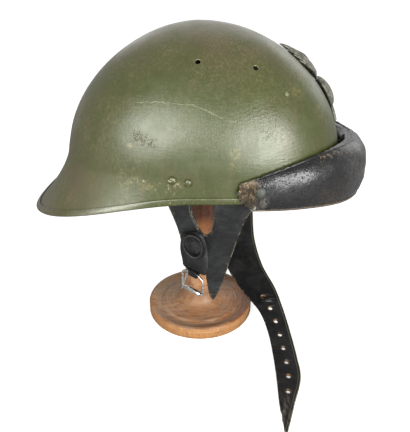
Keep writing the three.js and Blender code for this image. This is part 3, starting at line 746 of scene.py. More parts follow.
def pad_corner(station, corner):
    degrees = pad_degrees(station)
    thick, lip = read(pad_table, 1, abs(degrees)), read(pad_table, 4, abs(degrees))
    if corner > pad_front:
        rise, share = pad_back[corner - pad_front]
        return off_brow(degrees, rise, share * lip)
    rise = -math.cos(math.pi * corner / pad_front)
    seam = math.exp(-((rise - seam_rise) / 0.035) ** 2) * min(1, thick / 10) * 0.9
    puff = noise.noise(Vector((degrees * 0.16, rise * 2.2, 3.1))) * thick * 0.045
    pucker = noise.noise(Vector((degrees * 0.7, rise * 1.5, 9))) * max(rise, 0) ** 3 * 0.9
    return pad_place(degrees, rise, seam + pucker - puff * (1 - rise ** 4))


pad_shape = bmesh.new()
sweep(pad_shape, pad_front + len(pad_back), pad_stations, pad_corner)
rise_layer = pad_shape.verts.layers.float.new("rise")
for corner in pad_shape.verts:
    at = abs(math.degrees(math.atan2(corner.co.y, corner.co.x - skull_x)))
    bottom, top = read(pad_table, 2, at), read(pad_table, 3, at)
    corner[rise_layer] = (corner.co.z - bottom) / (top - bottom)


def leather(name, dark, light, gloss, shine):
    """Worn leather: two tones in soft patches over a pebbled grain with creases."""
    made = Finish(name, Specular_IOR_Level=shine)
    place = made.place
    made.colour = blend(spread(mottle(place, 55.0, 6.0, 0.65, 0.5), 0.4, 0.68), dark, light)
    pebble = worked("ShaderNodeTexVoronoi", {"Vector": place, "Scale": 900.0}, feature="F1")
    creases = mottle(stretched(place, (1, 1, 2.5)), 160.0, 6.0, 0.6, 1.2)
    made.height = plus(times(pebble.outputs["Distance"], -0.5), times(creases, 0.8))
    made.gloss = spread(mottle(place, 90.0, 5.0, 0.7), 0.3, 0.7, gloss - 0.08, gloss + 0.1)
    return made


wiped_grey_and_sheen = (0.085, 0.078, 0.068, 1)
worn_tan = (0.27, 0.195, 0.105, 1)
worn_brown_and_sheen = (0.085, 0.06, 0.033, 1)
frayed_cream = (0.55, 0.5, 0.4, 1)
pad_leather = leather("pad_leather", (0.005, 0.005, 0.0055, 1), (0.0095, 0.0093, 0.0098, 1), 0.24, 0.66)
on_pad = pad_leather.place
# centre, inner and outer radius, colour, strength
pad_marks = [
    # The grey patch on the top front is partly wiped wear and partly a painted sheen.
    ((128, -62, 190), 6, 34, wiped_grey_and_sheen, 0.5),
    # The brown patch low on the front is a painted sheen.
    ((104, -88, 163), 4, 26, worn_brown_and_sheen, 0.35),
    ((47, -97, 170), 1, 8, (0.3, 0.29, 0.25, 1), 0.65),
    ((38, -96, 174), 7, 15, worn_brown_and_sheen, 0.95),
    ((37, -96, 178), 5, 12, worn_tan, 0.8),
    ((38, 96, 176), 7, 13, worn_tan, 0.7),
    ((42, -96, 163.5), 1.5, 5, frayed_cream, 0.9),
]
fibres = spread(mottle(stretched(on_pad, (1, 1, 0.5), (0.4, 0.5, 0)), 420.0, 7.0, 0.8, 1.0), 0.42, 0.6)
for centre, inner, outer, colour, strength in pad_marks:
    pad_leather.tint(colour, near_spot(on_pad, centre, inner, outer), fibres, strength)
top_edge = spread(pad_leather.attribute("rise"), 0.86, 0.96)
pad_leather.tint(worn_tan, top_edge, chip_mask(on_pad, 420.0, 0.62), 0.5)
pad_leather.sink(fine_lines(on_pad, 240.0, 0.02), 1.0)
frayed = near_spot(on_pad, (38, -96, 172), 8, 14)
pad_leather.lift(times(frayed, fibres), 5.0)
pad_leather.apply(0.16)
brow_pad = show("brow_pad", pad_shape, pad_leather, ["brow_pad"])

# Welt: a thin roll of the same leather, sewn in along the pad's top edge.
# It is a little crinkled from use.
welt_rise = 0.985
welt_radius = 1.0
welt_sides = 10


def welt_line(station):
    degrees = pad_degrees(station)
    place = pad_place(max(min(degrees, pad_end), -pad_end), welt_rise)
    crinkle = noise.noise(Vector((degrees * 0.9, 5, 0))) * 0.8
    return place + Vector((0, 0, crinkle - 0.2))


def welt_corner(station, corner):
    """The welt is round, square to its line."""
    along = (welt_line(station + 0.5) - welt_line(station - 0.5)).normalized()
    side = along.cross(Vector((0, 0, 1))).normalized()
    up = side.cross(along)
    angle = 2 * math.pi * corner / welt_sides
    return welt_line(station) + side * math.cos(angle) * welt_radius + up * math.sin(angle) * welt_radius


welt_shape = bmesh.new()
sweep(welt_shape, welt_sides, pad_stations, welt_corner)
show("brow_pad_welt", welt_shape, pad_leather, [])

# Thread: waxed tan thread, in short stitches that close the pad's bottom seam.
# Each stitch is half sunk in the leather.
thread = Finish("waxed_thread", Roughness=0.8)
thread_tone = spread(mottle(thread.place, 240.0), 0.35, 0.65)
thread.colour = blend(thread_tone, (0.12, 0.085, 0.05, 1), (0.36, 0.26, 0.15, 1))
thread.apply()
thread_shape = bmesh.new()
stitch_pitch = 1.9
stitch_length = 1.1
stitch_radius = 0.35
stitch_rise = -0.93
stitch_end = 72


def add_stitch(shape, place, along, out, length, radius):
    """Adds one short round stitch, half sunk in the leather."""
    made = bmesh.ops.create_uvsphere(shape, u_segments=8, v_segments=6, radius=1)["verts"]
    bmesh.ops.scale(shape, vec=(length, radius, radius), verts=made)
    side = out.cross(along).normalized()
    turn = Vector((0, 0, 0)).to_track_quat("X", "Z").to_matrix()
    turn.col[0], turn.col[1], turn.col[2] = along, side, along.cross(side)
    bmesh.ops.rotate(shape, verts=made, matrix=turn)
    bmesh.ops.translate(shape, verts=made, vec=place)


degrees = -stitch_end
while degrees < stitch_end:
    here = pad_place(degrees, stitch_rise)
    along = (pad_place(degrees + 0.4, stitch_rise) - pad_place(degrees - 0.4, stitch_rise)).normalized()
    lower = pad_place(degrees, stitch_rise - 0.05)
    out = (here - lower).cross(along).normalized()
    if out.dot(wall_normal(math.radians(degrees), 0.7)) < 0:
        out = -out
    add_stitch(thread_shape, here, along, out, stitch_length / 2 + 0.2, stitch_radius)
    degrees += math.degrees(stitch_pitch / (here - Vector((skull_x, 0, here.z))).length)
show("pad_thread", thread_shape, thread, [])

# Badge: a flaming ball pressed from sheet metal and pinned a little off the steel; generic ornament.
# It is shaped flat, then laid round the brow: across is to the wearer's left, down is towards the rim.
ball_fall = 0.4291
wall_per_fall = 288
ball_radius = 15
ball_rise = 6.4
ball_back = 1.2
standoff = 1.2
pin_radius = 1.5
badge_voxel = 0.6
lobe_sides = 16
flame_stations = 34
flame_root = -12
tail_root = 10
tail_stations = 8
# across, tip, curl, width, share of the full height
flame_table = [
    (0, -56, 0, 5.5, 1),
    (9, -50, 3, 4.8, 0.92),
    (17, -38, 7, 4.2, 0.72),
    (-9, -50, -3, 4.8, 0.92),
    (-17, -38, -7, 4.2, 0.72),
    (4.5, -45, 2, 3.4, 0.96),
    (-4.5, -45, -2, 3.4, 0.96),
    (13, -44, 5, 3.2, 0.8),
    (-13, -44, -5, 3.2, 0.8),
]
# share of the length, share of the width, height of the top
swell_table = [
    (0, 0.6, 2.6), (0.1, 0.75, 3.2), (0.26, 1, 5.6), (0.42, 0.97, 6.8),
    (0.62, 0.8, 6), (0.82, 0.5, 4), (1, 0.12, 1.4),
]

badge_shape = bmesh.new()
ball_verts = bmesh.ops.create_uvsphere(badge_shape, u_segments=40, v_segments=24, radius=1)["verts"]
bmesh.ops.scale(badge_shape, vec=(ball_radius, ball_radius, ball_rise), verts=ball_verts)
for corner in ball_verts:
    corner.co.z = standoff + ball_back + max(corner.co.z, corner.co.z * ball_back / ball_rise)
for across, tip, curl, width, height_share in flame_table:

    def flame_corner(station, corner):
        t = station / (flame_stations - 1)
        top = read(swell_table, 2, t)
        lump = 1 + 0.07 * math.sin(15 * t + across * 1.7)
        under = standoff * (1 - 0.7 * t * t)
        depth = max((top - under) * height_share * lump, 0.9) / 2
        angle = 2 * math.pi * corner / lobe_sides
        ridge = 1 + 0.12 * math.cos(4 * angle)
        lick = 0.8 * math.sin(10 * t + across) * t
        middle = across * t ** 0.8 + curl * t * (1 - t) + lick
        return Vector((
            middle + math.cos(angle) * ridge * max(width * read(swell_table, 1, t), 0.4),
            flame_root + (tip - flame_root) * t,
            under + depth + math.sin(angle) * depth * ridge,
        ))

    sweep(badge_shape, lobe_sides, flame_stations, flame_corner)
for across, reach in [(0, 29), (6, 27), (-6, 27)]:

    def tail_corner(station, corner):
        t = station / (tail_stations - 1)
        angle = 2 * math.pi * corner / lobe_sides
        return Vector((
            across * t + math.cos(angle) * (3.4 - 1.2 * t),
            tail_root + (reach - tail_root) * t,
            standoff + 2.2 + math.sin(angle) * (2.1 - 0.6 * t),
        ))

    sweep(badge_shape, lobe_sides, tail_stations, tail_corner)
for pin_down in (-30, 4):
    pin_verts = bmesh.ops.create_cone(
        badge_shape, cap_ends=True, segments=16, radius1=pin_radius, radius2=pin_radius, depth=3,
    )["verts"]
    bmesh.ops.translate(badge_shape, vec=(0, pin_down, 1.8), verts=pin_verts)
for corner in badge_shape.verts:
    fall = ball_fall + corner.co.y / wall_per_fall
    round_brow = wall(0, fall).x - skull_x
    corner.co = off_wall(corner.co.x / round_brow, fall, corner.co.z)
bmesh.ops.recalc_face_normals(badge_shape, faces=badge_shape.faces)

badge_metal = Finish("badge_metal", Metallic=0.35)
on_badge = badge_metal.place
badge_dirt = spread(mottle(on_badge, 170.0, 6.0, 0.7), 0.38, 0.62)
badge_metal.colour = blend(badge_dirt, (0.06, 0.06, 0.046, 1), (0.2, 0.196, 0.155, 1))
badge_metal.tint(rust, chip_mask(on_badge, 300.0, 0.6), 0.6)
badge_metal.gloss = spread(mottle(on_badge, 120.0), 0.3, 0.7, 0.38, 0.6)
badge_metal.height = mottle(stretched(on_badge, (1, 1, 0.22)), 620.0, 4.0, 0.6, 0.6)
badge_metal.lift(mottle(on_badge, 900.0, 3.0), 0.6)
badge_metal.apply(0.35)
badge = show("flaming_ball_badge", badge_shape, badge_metal, ["badge"])
badge_join = badge.modifiers.new("one_pressing", "REMESH")
badge_join.mode = "VOXEL"
badge_join.voxel_size = badge_voxel * mm
badge_join.use_smooth_shade = True
badge_soften = badge.modifiers.new("softened", "SMOOTH")
badge_soften.factor = 0.5
badge_soften.iterations = 3

# Chin yoke, wearer's right: one flat piece of 2.2 mm leather with two legs and a pointed tip.
# The rear leg is riveted twice; the front leg hangs from the pad's rivet.
strap_thickness = 2.2
strap_inset = 3
yoke_lean = 0.15
yoke_cell = 2.5
# x, height: the outline, round from the rear leg's top corner
yoke_outline = [
    [(-27, 191), (-26, 172)],
    [(-26, 172), (-23, 162), (-17, 143), (-14, 126), (-13, 108)],
    [(-13, 108), (4, 106)],
    [(4, 106), (7, 84), (9, 70), (12.5, 62)],
    [(12.5, 62), (19, 78), (26, 107), (32, 132), (41, 157), (56, 172)],
    [(56, 172), (56, 184), (38, 184)],
    [
        (38, 184), (20, 175), (12, 162), (12.5, 149), (10.5, 139),
        (6.8, 134.5), (3, 137), (-1.5, 148), (-5, 158), (-3, 172),
    ],
    [(-3, 172), (0, 191)],
]


def wall_half_width(x):
    """Half the skull's width at x, at rim height."""
    along = abs(x - skull_x) / (skull_front if x > skull_x else skull_rear)
    return skull_half_width * (1 - min(along, 1) ** plan_roundness) ** (1 / plan_roundness)


def yoke_face(x, height):
    """How far to the side the yoke's outer face lies."""
    hang = max(rim_height - height, 0)
    full = wall_half_width(skull_x)
    half = full + (wall_half_width(x) - full) * math.exp(-hang / 60)
    return -(half - strap_inset) + yoke_lean * hang


def smooth_line(points, spacing):
    """Walks a smooth curve through the points in steps of about the spacing, leaving out the last point."""
    table = [(index, *point) for index, point in enumerate(points)]
    line = []
    for index, (start, end) in enumerate(zip(points, points[1:])):
        steps = max(1, round(math.dist(start, end) / spacing))
        for step in range(steps):
            at = index + step / steps
            line.append((read(table, 1, at), read(table, 2, at)))
    return line


def cut_every(shape, axis, spacing, low, high):
    """Cuts the faces across one axis at equal steps."""
    normal = Vector((0, 0, 0))
    normal[axis] = 1
    at = low + spacing
    while at < high:
        bmesh.ops.bisect_plane(
            shape, geom=whole(shape), dist=0.05, plane_co=normal * at, plane_no=normal,
        )
        at += spacing


def mark_edges(shape, name, width):
    """Merges slivers, then stores how near each corner is to a free edge: 1 on it, 0 from the width on."""
    bmesh.ops.remove_doubles(shape, verts=shape.verts, dist=0.6)
    layer = shape.verts.layers.float.new(name)
    rim = [vert.co.copy() for vert in shape.verts if vert.is_boundary]
    for vert in shape.verts:
        gap = min((vert.co - edge_place).length for edge_place in rim)
        vert[layer] = max(0, 1 - gap / width)


yoke_shape = bmesh.new()
yoke_line = [place for part in yoke_outline for place in smooth_line(part, 2.2)]
yoke_shape.faces.new([yoke_shape.verts.new((x, 0, height)) for x, height in yoke_line])
cut_every(yoke_shape, 0, yoke_cell, -30, 58)
cut_every(yoke_shape, 2, yoke_cell, 60, 194)
mark_edges(yoke_shape, "worn_edge", 3.2)
for corner in yoke_shape.verts:
    x, height = corner.co.x, corner.co.z
    wave = noise.noise(Vector((x * 0.035, height * 0.03, 1.7))) * 1.1
    hang_share = min(max((165 - height) / 40, 0), 1)
    corner.co.y = yoke_face(x, height) + wave * hang_share
bmesh.ops.recalc_face_normals(yoke_shape, faces=yoke_shape.faces)
if sum(face.normal.y for face in yoke_shape.faces) > 0:
    bmesh.ops.reverse_faces(yoke_shape, faces=yoke_shape.faces)

raw_edge = (0.24, 0.22, 0.13, 1)


def strap_leather(name, dark, light, gloss, wrinkle_depth):
    """Strap leather with pale worn edges and fine slanting wrinkles."""
    made = leather(name, dark, light, gloss, 0.3)
    near_edge = spread(made.attribute("worn_edge"), 0.6, 1.0)
    edge_break = spread(mottle(made.place, 150.0, 5.0, 0.7), 0.48, 0.62)
    made.tint(raw_edge, near_edge, edge_break, 0.6)
    wrinkle_place = stretched(made.place, (0.4, 1, 2.4), (0, 0.45, 0))
    made.lift(mottle(wrinkle_place, 130.0, 6.0, 0.66, 0.9), wrinkle_depth)
    return made


def leather_sheet(piece, thickness, edge_round=0.35):
    """Gives a flat piece its thickness, away from its outer face, and rounds the cut edges."""
    body = piece.modifiers.new("leather", "SOLIDIFY")
    body.thickness = thickness * mm
    body.offset = -1
    rounded = piece.modifiers.new("rubbed_edges", "BEVEL")
    rounded.width = edge_round * mm
    rounded.segments = 2
    rounded.use_clamp_overlap = False
    rounded.limit_method = "ANGLE"
    rounded.angle_limit = math.radians(50)


yoke_leather = strap_leather(
    "strap_leather", (0.009, 0.0092, 0.0096, 1), (0.024, 0.0245, 0.025, 1), 0.44, 4.5,
)
# A pale stitched line follows the inner edge of the rear leg.
yoke_seam = [(-5.2, 172), (-6.6, 165), (-7, 158), (-3.5, 148), (0.8, 137)]
seam_places = [(x, yoke_face(x, height), height) for x, height in yoke_seam]
for seam_ends in zip(seam_places, seam_places[1:]):
    seam_line = scratch_mask(yoke_leather.place, *seam_ends, 0.7)
    yoke_leather.tint(raw_edge, seam_line, 0.22)
    yoke_leather.lift(seam_line, 1.5)
yoke_lint = chip_mask(yoke_leather.place, 420.0, 0.6)
yoke_leather.tint(raw_edge, yoke_lint, yoke_leather.attribute("worn_edge"), 0.5)
yoke_leather.apply(0.12)
yoke = show("chin_yoke_right", yoke_shape, yoke_leather, ["chin_yoke_right"])
leather_sheet(yoke, strap_thickness)

# Chin strap, wearer's left: the same leather, narrowing to a long tongue with eight holes and a pointed end.
# It curls in under the helmet and lies on the table beside the base.
strap_length = 370
strap_columns = 16
strap_rows = 120
# along, y, z, rear edge, front edge
strap_table = [
    (0, 91, 191, -27, 56),
    (24, 91, 167, -26, 56),
    (56, 88, 135, -19, 58),
    (86, 80, 107, -8, 59),
    (113, 66, 84, 4, 60.5),
    (142, 45, 60, 15, 61.5),
    (173, 20, 40, 28, 68.5),
    (204, -5, 25.5, 43, 80.5),
    (234, -30, 15, 61, 86.5),
    (260, -55, 8.5, 67.5, 89.5),
    (290, -85, 4.5, 69, 91),
    (315, -110, 3, 68.5, 90),
    (343, -138, 2.5, 67, 79.5),
    (370, -165, 2.5, 67, 69.5),
]
strap_holes = [215 + 16.4 * hole for hole in range(8)]
strap_hole_radius = 2
# The opening's middle, half its width and half its height; nothing below its foot is cut.
opening_x, opening_z, opening_half_x, opening_half_z = 13, 158, 12, 22
opening_foot = 120


def strap_place(along, share):
    """A place on the strap's outer face, down its length and across from the rear edge."""
    y, z, rear, front = (read(strap_table, column, along) for column in (1, 2, 3, 4))
    x = rear + (front - rear) * share
    bow = (wall_half_width(skull_x) - wall_half_width(x)) * math.exp(-max(along - 24, 0) / 40)
    return Vector((x, y - bow, z))


strap_shape = bmesh.new()
bmesh.ops.create_grid(strap_shape, x_segments=strap_columns, y_segments=strap_rows, size=0.5)
front_gap = strap_shape.verts.layers.float.new("front_gap")
for corner in strap_shape.verts:
    along = min(max((0.5 + corner.co.y) * strap_length, 0), strap_length)
    share = 0.5 + corner.co.x
    corner.co = strap_place(along, share)
    corner[front_gap] = strap_place(along, 1).x - corner.co.x


def in_opening(place):
    """How far out a place lies from the opening's middle: 1 is its edge."""
    return math.hypot((place.x - opening_x) / opening_half_x, (place.z - opening_z) / opening_half_z)


opened = [
    face for face in strap_shape.faces
    if face.calc_center_median().z > opening_foot and in_opening(face.calc_center_median()) < 1
]
bmesh.ops.delete(strap_shape, geom=opened, context="FACES")
for corner in strap_shape.verts:
    ratio = in_opening(corner.co)
    if corner.is_boundary and corner.co.z > opening_foot and ratio < 1.35:
        corner.co.x = opening_x + (corner.co.x - opening_x) / ratio
        corner.co.z = opening_z + (corner.co.z - opening_z) / ratio
for along in strap_holes:
    cut_round_hole(strap_shape, strap_place(along, 0.5), strap_hole_radius)
mark_edges(strap_shape, "worn_edge", 3.0)
bmesh.ops.recalc_face_normals(strap_shape, faces=strap_shape.faces)
if sum(face.normal.y for face in strap_shape.faces if face.calc_center_median().z > 130) < 0:
    bmesh.ops.reverse_faces(strap_shape, faces=strap_shape.faces)
# The holes' parts come in no fixed order, so all are sorted: rounding the edges gives the same each run.
strap_shape.verts.sort(key=lambda corner: corner.co.length)
strap_shape.edges.sort(key=lambda edge: sum(corner.co.length for corner in edge.verts))
strap_shape.faces.sort(key=lambda face: face.calc_center_median().length)

tongue = strap_leather(
    "tongue_leather", (0.006, 0.006, 0.0062, 1), (0.0165, 0.016, 0.0155, 1), 0.38, 2.0,
)
on_tongue = tongue.place
# A pale cut edge and a pressed line run down the front side, and a bend by the first holes is scuffed white.
edge_gap = tongue.attribute("front_gap")
tongue.tint(raw_edge, spread(edge_gap, 0.9, 0.3), 0.6)
pressed_line = spread(maths("ABSOLUTE", minus(edge_gap, 2.3)), 0.5, 0.1)
tongue.tint(raw_edge, pressed_line, 0.36)
tongue.sink(pressed_line, 2.0)
bend_noise = spread(mottle(stretched(on_tongue, (0.35, 2, 2)), 260.0, 5.0, 0.7), 0.58, 0.68)
tongue.tint((0.4, 0.4, 0.4, 1), near_spot(on_tongue, strap_place(224, 0.55), 3, 13), bend_noise, 0.5)
tip_noise = spread(mottle(stretched(on_tongue, (1, 0.2, 1), (0, 0, 0.1)), 420.0, 6.0, 0.7), 0.46, 0.64)
tongue.tint((0.16, 0.135, 0.11, 1), near_spot(on_tongue, strap_place(368, 0.5), 18, 46), tip_noise, 0.8)
ring_break = spread(mottle(on_tongue, 300.0, 4.0), 0.36, 0.6)
for along in strap_holes:
    hole_ring = near_spot(on_tongue, strap_place(along, 0.5), strap_hole_radius + 0.5, 4.4)
    tongue.tint((0.22, 0.115, 0.055, 1), hole_ring, ring_break, 0.75)
tongue.apply(0.12)
strap = show("chin_strap_left", strap_shape, tongue, ["chin_strap_left"])
leather_sheet(strap, strap_thickness)

# Buckle tab: a short strap of thinner black leather, sewn to the yoke by its top end.
# It twists as it falls, and its lower end folds round the buckle's bar.
tab_thickness = 1.8
bar_wire = 0.95
bar_place = Vector((-5.2, -91.5, 103.1))
buckle_twist = math.radians(42)
fold_slide = 1.7
fold_half = 3.7
# along, x, y, z, twist, half width
tab_table = [
    (0, -4.5, -88.2, 139.6, 0, 3.5),
    (1.5, -4.5, -88.3, 138.4, 1, 6.6),
    (4, -4.4, -88.6, 136.2, 2, 8.6),
    (10, -4, -89.6, 130.5, 6, 10.5),
    (19, -3, -92.6, 122, 22, 12.5),
    (28, -2.6, -94, 113, 34, 12.9),
    (32, -3.2, -94.2, 109, 39, 12.6),
    (33, -3.4, -94.2, 107.8, 40, 11.8),
]
tab_length = 33
tab_fall = 22
tab_fold = 12
fold_front_rise = 4.3
fold_back_rise = 6


def turned_ways(turn):
    """The way across and the way out of a strap that is turned about the upright."""
    return Vector((math.cos(turn), -math.sin(turn), 0)), Vector((-math.sin(turn), -math.cos(turn), 0))


buckle_across, buckle_out = turned_ways(buckle_twist)
fold_place = bar_place + buckle_across * fold_slide
fold_radius = bar_wire + 0.5 + tab_thickness / 2
# across in half widths, out in half thicknesses
tab_section = [
    (-1, -0.4), (-0.96, -1), (-0.5, -1), (0, -1), (0.5, -1), (0.96, -1), (1, -0.4),
    (1, 0.4), (0.96, 1), (0.5, 1), (0, 1), (-0.5, 1), (-0.96, 1), (-1, 0.4),
]


def tab_frame(station):
    """The middle, the way across, the way out and the half width at one station of the tab."""
    if station <= tab_fall:
        along = tab_length * station / tab_fall
        x, y, z, twist, half = (read(tab_table, column, along) for column in (1, 2, 3, 4, 5))
        return Vector((x, y, z)), *turned_ways(math.radians(twist)), half
    angle = math.pi * min(max(station - tab_fall - 1, 0), tab_fold) / tab_fold
    out = buckle_out * math.cos(angle) - Vector((0, 0, 1)) * math.sin(angle)
    middle = fold_place + out * fold_radius
    if station == tab_fall + 1:
        middle.z += fold_front_rise
    if station == tab_fall + tab_fold + 2:
        middle.z += fold_back_rise
    return middle, buckle_across, out, fold_half


def tab_corner(station, corner):
    middle, across_way, out_way, half = tab_frame(station)
    across, out = tab_section[corner]
    along = min(station / tab_fall, 1)
    curl = 2.4 * max(across, 0) ** 3 * math.sin(math.pi * min(along, 0.96)) if station <= tab_fall else 0
    return middle + across_way * across * half + out_way * (out * tab_thickness / 2 + curl)


tab_shape = bmesh.new()
sweep(tab_shape, len(tab_section), tab_fall + tab_fold + 3, tab_corner)
tab_leather = strap_leather(
    "buckle_tab_leather", (0.005, 0.005, 0.0055, 1), (0.015, 0.0145, 0.014, 1), 0.42, 0.3,
)
tab_leather.tint(wiped_grey_and_sheen, chip_mask(tab_leather.place, 420.0, 0.5), 0.4)
tab_leather.lift(mottle(tab_leather.place, 210.0, 6.0, 0.7, 1.0), 3.5)
tab_leather.apply(0.16)
show("buckle_tab", tab_shape, tab_leather, ["buckle_tab"])

# Keeper: an oval loop of the tab's leather, joined end to end.
# It stands on the tab, tipped a little to one side, and would hold the tongue's end.
keeper_place = Vector((-4.3, -95.6, 131.5))
keeper_roll = 0.35
keeper_depth = 5
keeper_inner_x = 5.6
keeper_inner_z = 9.2
keeper_wall_x = 2.4
keeper_wall_z = 2.2
keeper_steps = 56
# out between the inner and the outer oval, share of the depth
keeper_section = [
    (0, 0.1), (0.15, 0), (0.85, 0), (1, 0.1), (1, 0.5), (1, 0.9), (0.85, 1), (0.15, 1), (0, 0.9), (0, 0.5),
]


def keeper_corner(station, corner):
    angle = 2 * math.pi * station / keeper_steps
    out, deep = keeper_section[corner]
    x = math.cos(angle) * (keeper_inner_x + keeper_wall_x * out) * (1 + 0.05 * math.sin(3 * angle))
    z = math.sin(angle) * (keeper_inner_z + keeper_wall_z * out) + 0.8
    turned_x = x * math.cos(keeper_roll) - z * math.sin(keeper_roll)
    turned_z = x * math.sin(keeper_roll) + z * math.cos(keeper_roll)
    return keeper_place + Vector((turned_x, -keeper_depth * deep, turned_z))


keeper_shape = bmesh.new()
sweep(keeper_shape, len(keeper_section), keeper_steps, keeper_corner, closed=True)
show("keeper_loop", keeper_shape, tab_leather, ["keeper_loop"])

# Buckle: a bent and butted wire frame that hangs in the tab's fold, a roller of rolled sheet and a prong.
# All three are plated steel. The roller turns on the frame's lower wire, and the prong on its bar.
frame_half = 11.5
bar_half = 6.5
shoulder_drop = 3
frame_drop = 17.5
roller_length = 18
roller_bore = 1.35
roller_radius = 1.95
prong_slide = -3.8
prong_wire = 0.8
prong_tip = -5.6
corner_round = 2.2
corner_steps = 6
wire_sides = 14


def in_buckle(x, out, z):
    """A place in the buckle's own frame: along the bar, outwards and up from the bar."""
    return bar_place + buckle_across * x + buckle_out * out + Vector((0, 0, z))


plated_steel = Finish("bright_steel", Metallic=1.0)
steel_wear = spread(mottle(plated_steel.place, 300.0, 5.0, 0.7), 0.4, 0.68)
plated_steel.colour = blend(steel_wear, (0.72, 0.71, 0.68, 1), (0.42, 0.39, 0.34, 1))
plated_steel.gloss = spread(mottle(plated_steel.place, 500.0), 0.3, 0.7, 0.2, 0.38)
plated_steel.apply()

frame_corners = [
    Vector((-bar_half, 0)), Vector((bar_half, 0)),
    Vector((frame_half, -shoulder_drop)), Vector((frame_half, -frame_drop)),
    Vector((-frame_half, -frame_drop)), Vector((-frame_half, -shoulder_drop)),
]
frame_line = []
for index, here in enumerate(frame_corners):
    before = frame_corners[index - 1]
    after = frame_corners[(index + 1) % len(frame_corners)]
    start = here + (before - here).normalized() * corner_round
    end = here + (after - here).normalized() * corner_round
    for step in range(corner_steps + 1):
        t = step / corner_steps
        frame_line.append(start * (1 - t) ** 2 + here * 2 * t * (1 - t) + end * t ** 2)


def frame_corner(station, corner):
    here = frame_line[station]
    along = (frame_line[(station + 1) % len(frame_line)] - frame_line[station - 1]).normalized()
    angle = 2 * math.pi * corner / wire_sides
    side = math.cos(angle) * bar_wire
    return in_buckle(here.x + along.y * side, math.sin(angle) * bar_wire, here.y - along.x * side)


frame_shape = bmesh.new()
sweep(frame_shape, wire_sides, len(frame_line), frame_corner, closed=True)
show("buckle_frame", frame_shape, plated_steel, ["buckle_frame"], body="frame")


def add_sleeve(shape, bore, outside, length, x, z):
    """Adds a short tube along the buckle's bar direction."""
    half = length / 2
    profile = [
        (bore, -half), (outside - 0.15, -half), (outside, -half + 0.15), (outside, half - 0.15),
        (outside - 0.15, half), (bore, half), (bore, -half),
    ]
    sleeve = bmesh.new()
    spun(sleeve, profile, turned_steps)
    for corner in sleeve.verts:
        corner.co = in_buckle(x + corner.co.z, corner.co.x, z + corner.co.y)
    bmesh.ops.recalc_face_normals(sleeve, faces=sleeve.faces)
    sleeve_mesh = bpy.data.meshes.new("sleeve")
    sleeve.to_mesh(sleeve_mesh)
    shape.from_mesh(sleeve_mesh)
    sleeve.free()


roller_shape = bmesh.new()
add_sleeve(roller_shape, roller_bore, roller_radius, roller_length, 0, -frame_drop)
show("buckle_roller", roller_shape, plated_steel, ["buckle_roller"], body="roller")

# share of the length, out
prong_route = [
    (0, bar_wire + 1.2),
    (0.25, bar_wire + 1.4),
    (0.7, roller_radius + prong_wire + 0.5),
    (1, roller_radius + prong_wire + 0.3),
]
prong_length = frame_drop + 1
prong_stations = 16


def prong_corner(station, corner):
    share = station / (prong_stations - 1)
    angle = 2 * math.pi * corner / wire_sides
    radius = prong_wire * (1 if station < prong_stations - 1 else 0.55)
    return in_buckle(
        prong_slide + prong_tip * share + math.cos(angle) * radius,
        read(prong_route, 1, share) + math.sin(angle) * radius,
        -prong_length * share,
    )


prong_shape = bmesh.new()
sweep(prong_shape, wire_sides, prong_stations, prong_corner)
add_sleeve(prong_shape, bar_wire + 0.4, bar_wire + 1.2, 2.2, prong_slide, 0)
show("buckle_prong", prong_shape, plated_steel, ["buckle_prong"], body="prong")

# Stand: turned wood, waxed, with a darker stain on the stem, and painted shade and a painted highlight on the
# stem.
# The base is dished, with a low ring, and swells up to the stem. The head is a rounded block in the crown.
base_radius = 55.4
base_thickness = 12.2
head_middle = 258
head_radius = 46
head_gap = 1.1
head_top = rim_height + crown_height - steel - head_gap
head_steps = 18
stand_steps = 112
base_profile = [
    (0, 0), (54.6, 0), (55.1, 0.3), (base_radius, 1), (base_radius, base_thickness - 1.8),
    (55, base_thickness - 0.9), (54, base_thickness - 0.2), (53, base_thickness), (51, base_thickness - 0.1),
    (49.6, 11.5), (48.4, 10.8), (47, 10.3), (44.5, 9.8), (42, 9.7), (41, 10.1), (40, 10.7), (39, 10.9),
    (37, 10.75), (34, 10.9), (30, 11.4), (26.5, 12.4), (24, 13.8), (21.4, 15.9), (19.5, 18.4),
    (18, 21.8), (16.8, 26), (16, 31), (15.5, 36), (0, 36),
]
stem_profile = [
    (0, 36.3), (15.5, 36.3), (15.5, 60), (15.5, 90), (16.4, 110), (17, 130),
    (16.5, 155), (15.5, 180), (14.3, 205), (13, 225), (0, 225),
]
head_profile = [(0, 225.3), (13, 225.3), (22, 229.3)]
for head_step in range(head_steps + 1):
    head_angle = math.radians(-40 + 6.9 * head_step)
    head_profile.append((
        head_radius * math.cos(head_angle),
        head_middle + (head_top - head_middle) * math.sin(head_angle),
    ))
head_profile.append((0, head_top))

wood = Finish("turned_wood", Specular_IOR_Level=0.36)
on_wood = wood.place
flat_place = vectors("MULTIPLY", on_wood, (1, 1, 0))
from_axis = vectors("LENGTH", flat_place, result="Value")
way_round = worked("ShaderNodeSeparateXYZ", {"Vector": vectors("NORMALIZE", flat_place)}).outputs
# Turning marks: noise that changes fast with the radius and slowly round the axis.
turned_place = add_node(
    wood.tree, "ShaderNodeCombineXYZ",
    {"X": times(way_round["X"], 2.2), "Y": times(way_round["Y"], 2.2), "Z": times(from_axis, 330.0)},
).outputs["Vector"]
grain = mottle(stretched(on_wood, (1, 9, 5), (0, 0, 0.5)), 40.0, 6.0, 0.6, 0.8)
wood.colour = blend(spread(grain, 0.32, 0.68), (0.25, 0.1, 0.04, 1), (0.42, 0.22, 0.1, 1))
red_patches = spread(mottle(on_wood, 34.0, 5.0, 0.6, 0.4), 0.5, 0.68)
wood.tint((0.2, 0.07, 0.03, 1), red_patches, 0.6)
grey_ring = times(spread(from_axis, 0.03, 0.038), spread(from_axis, 0.0525, 0.049))
grey_streaks = spread(mottle(turned_place, 1.0, 5.0, 0.62), 0.42, 0.62)
wood.tint((0.33, 0.26, 0.19, 1), grey_streaks, plus(0.4, times(grey_ring, 0.2)))
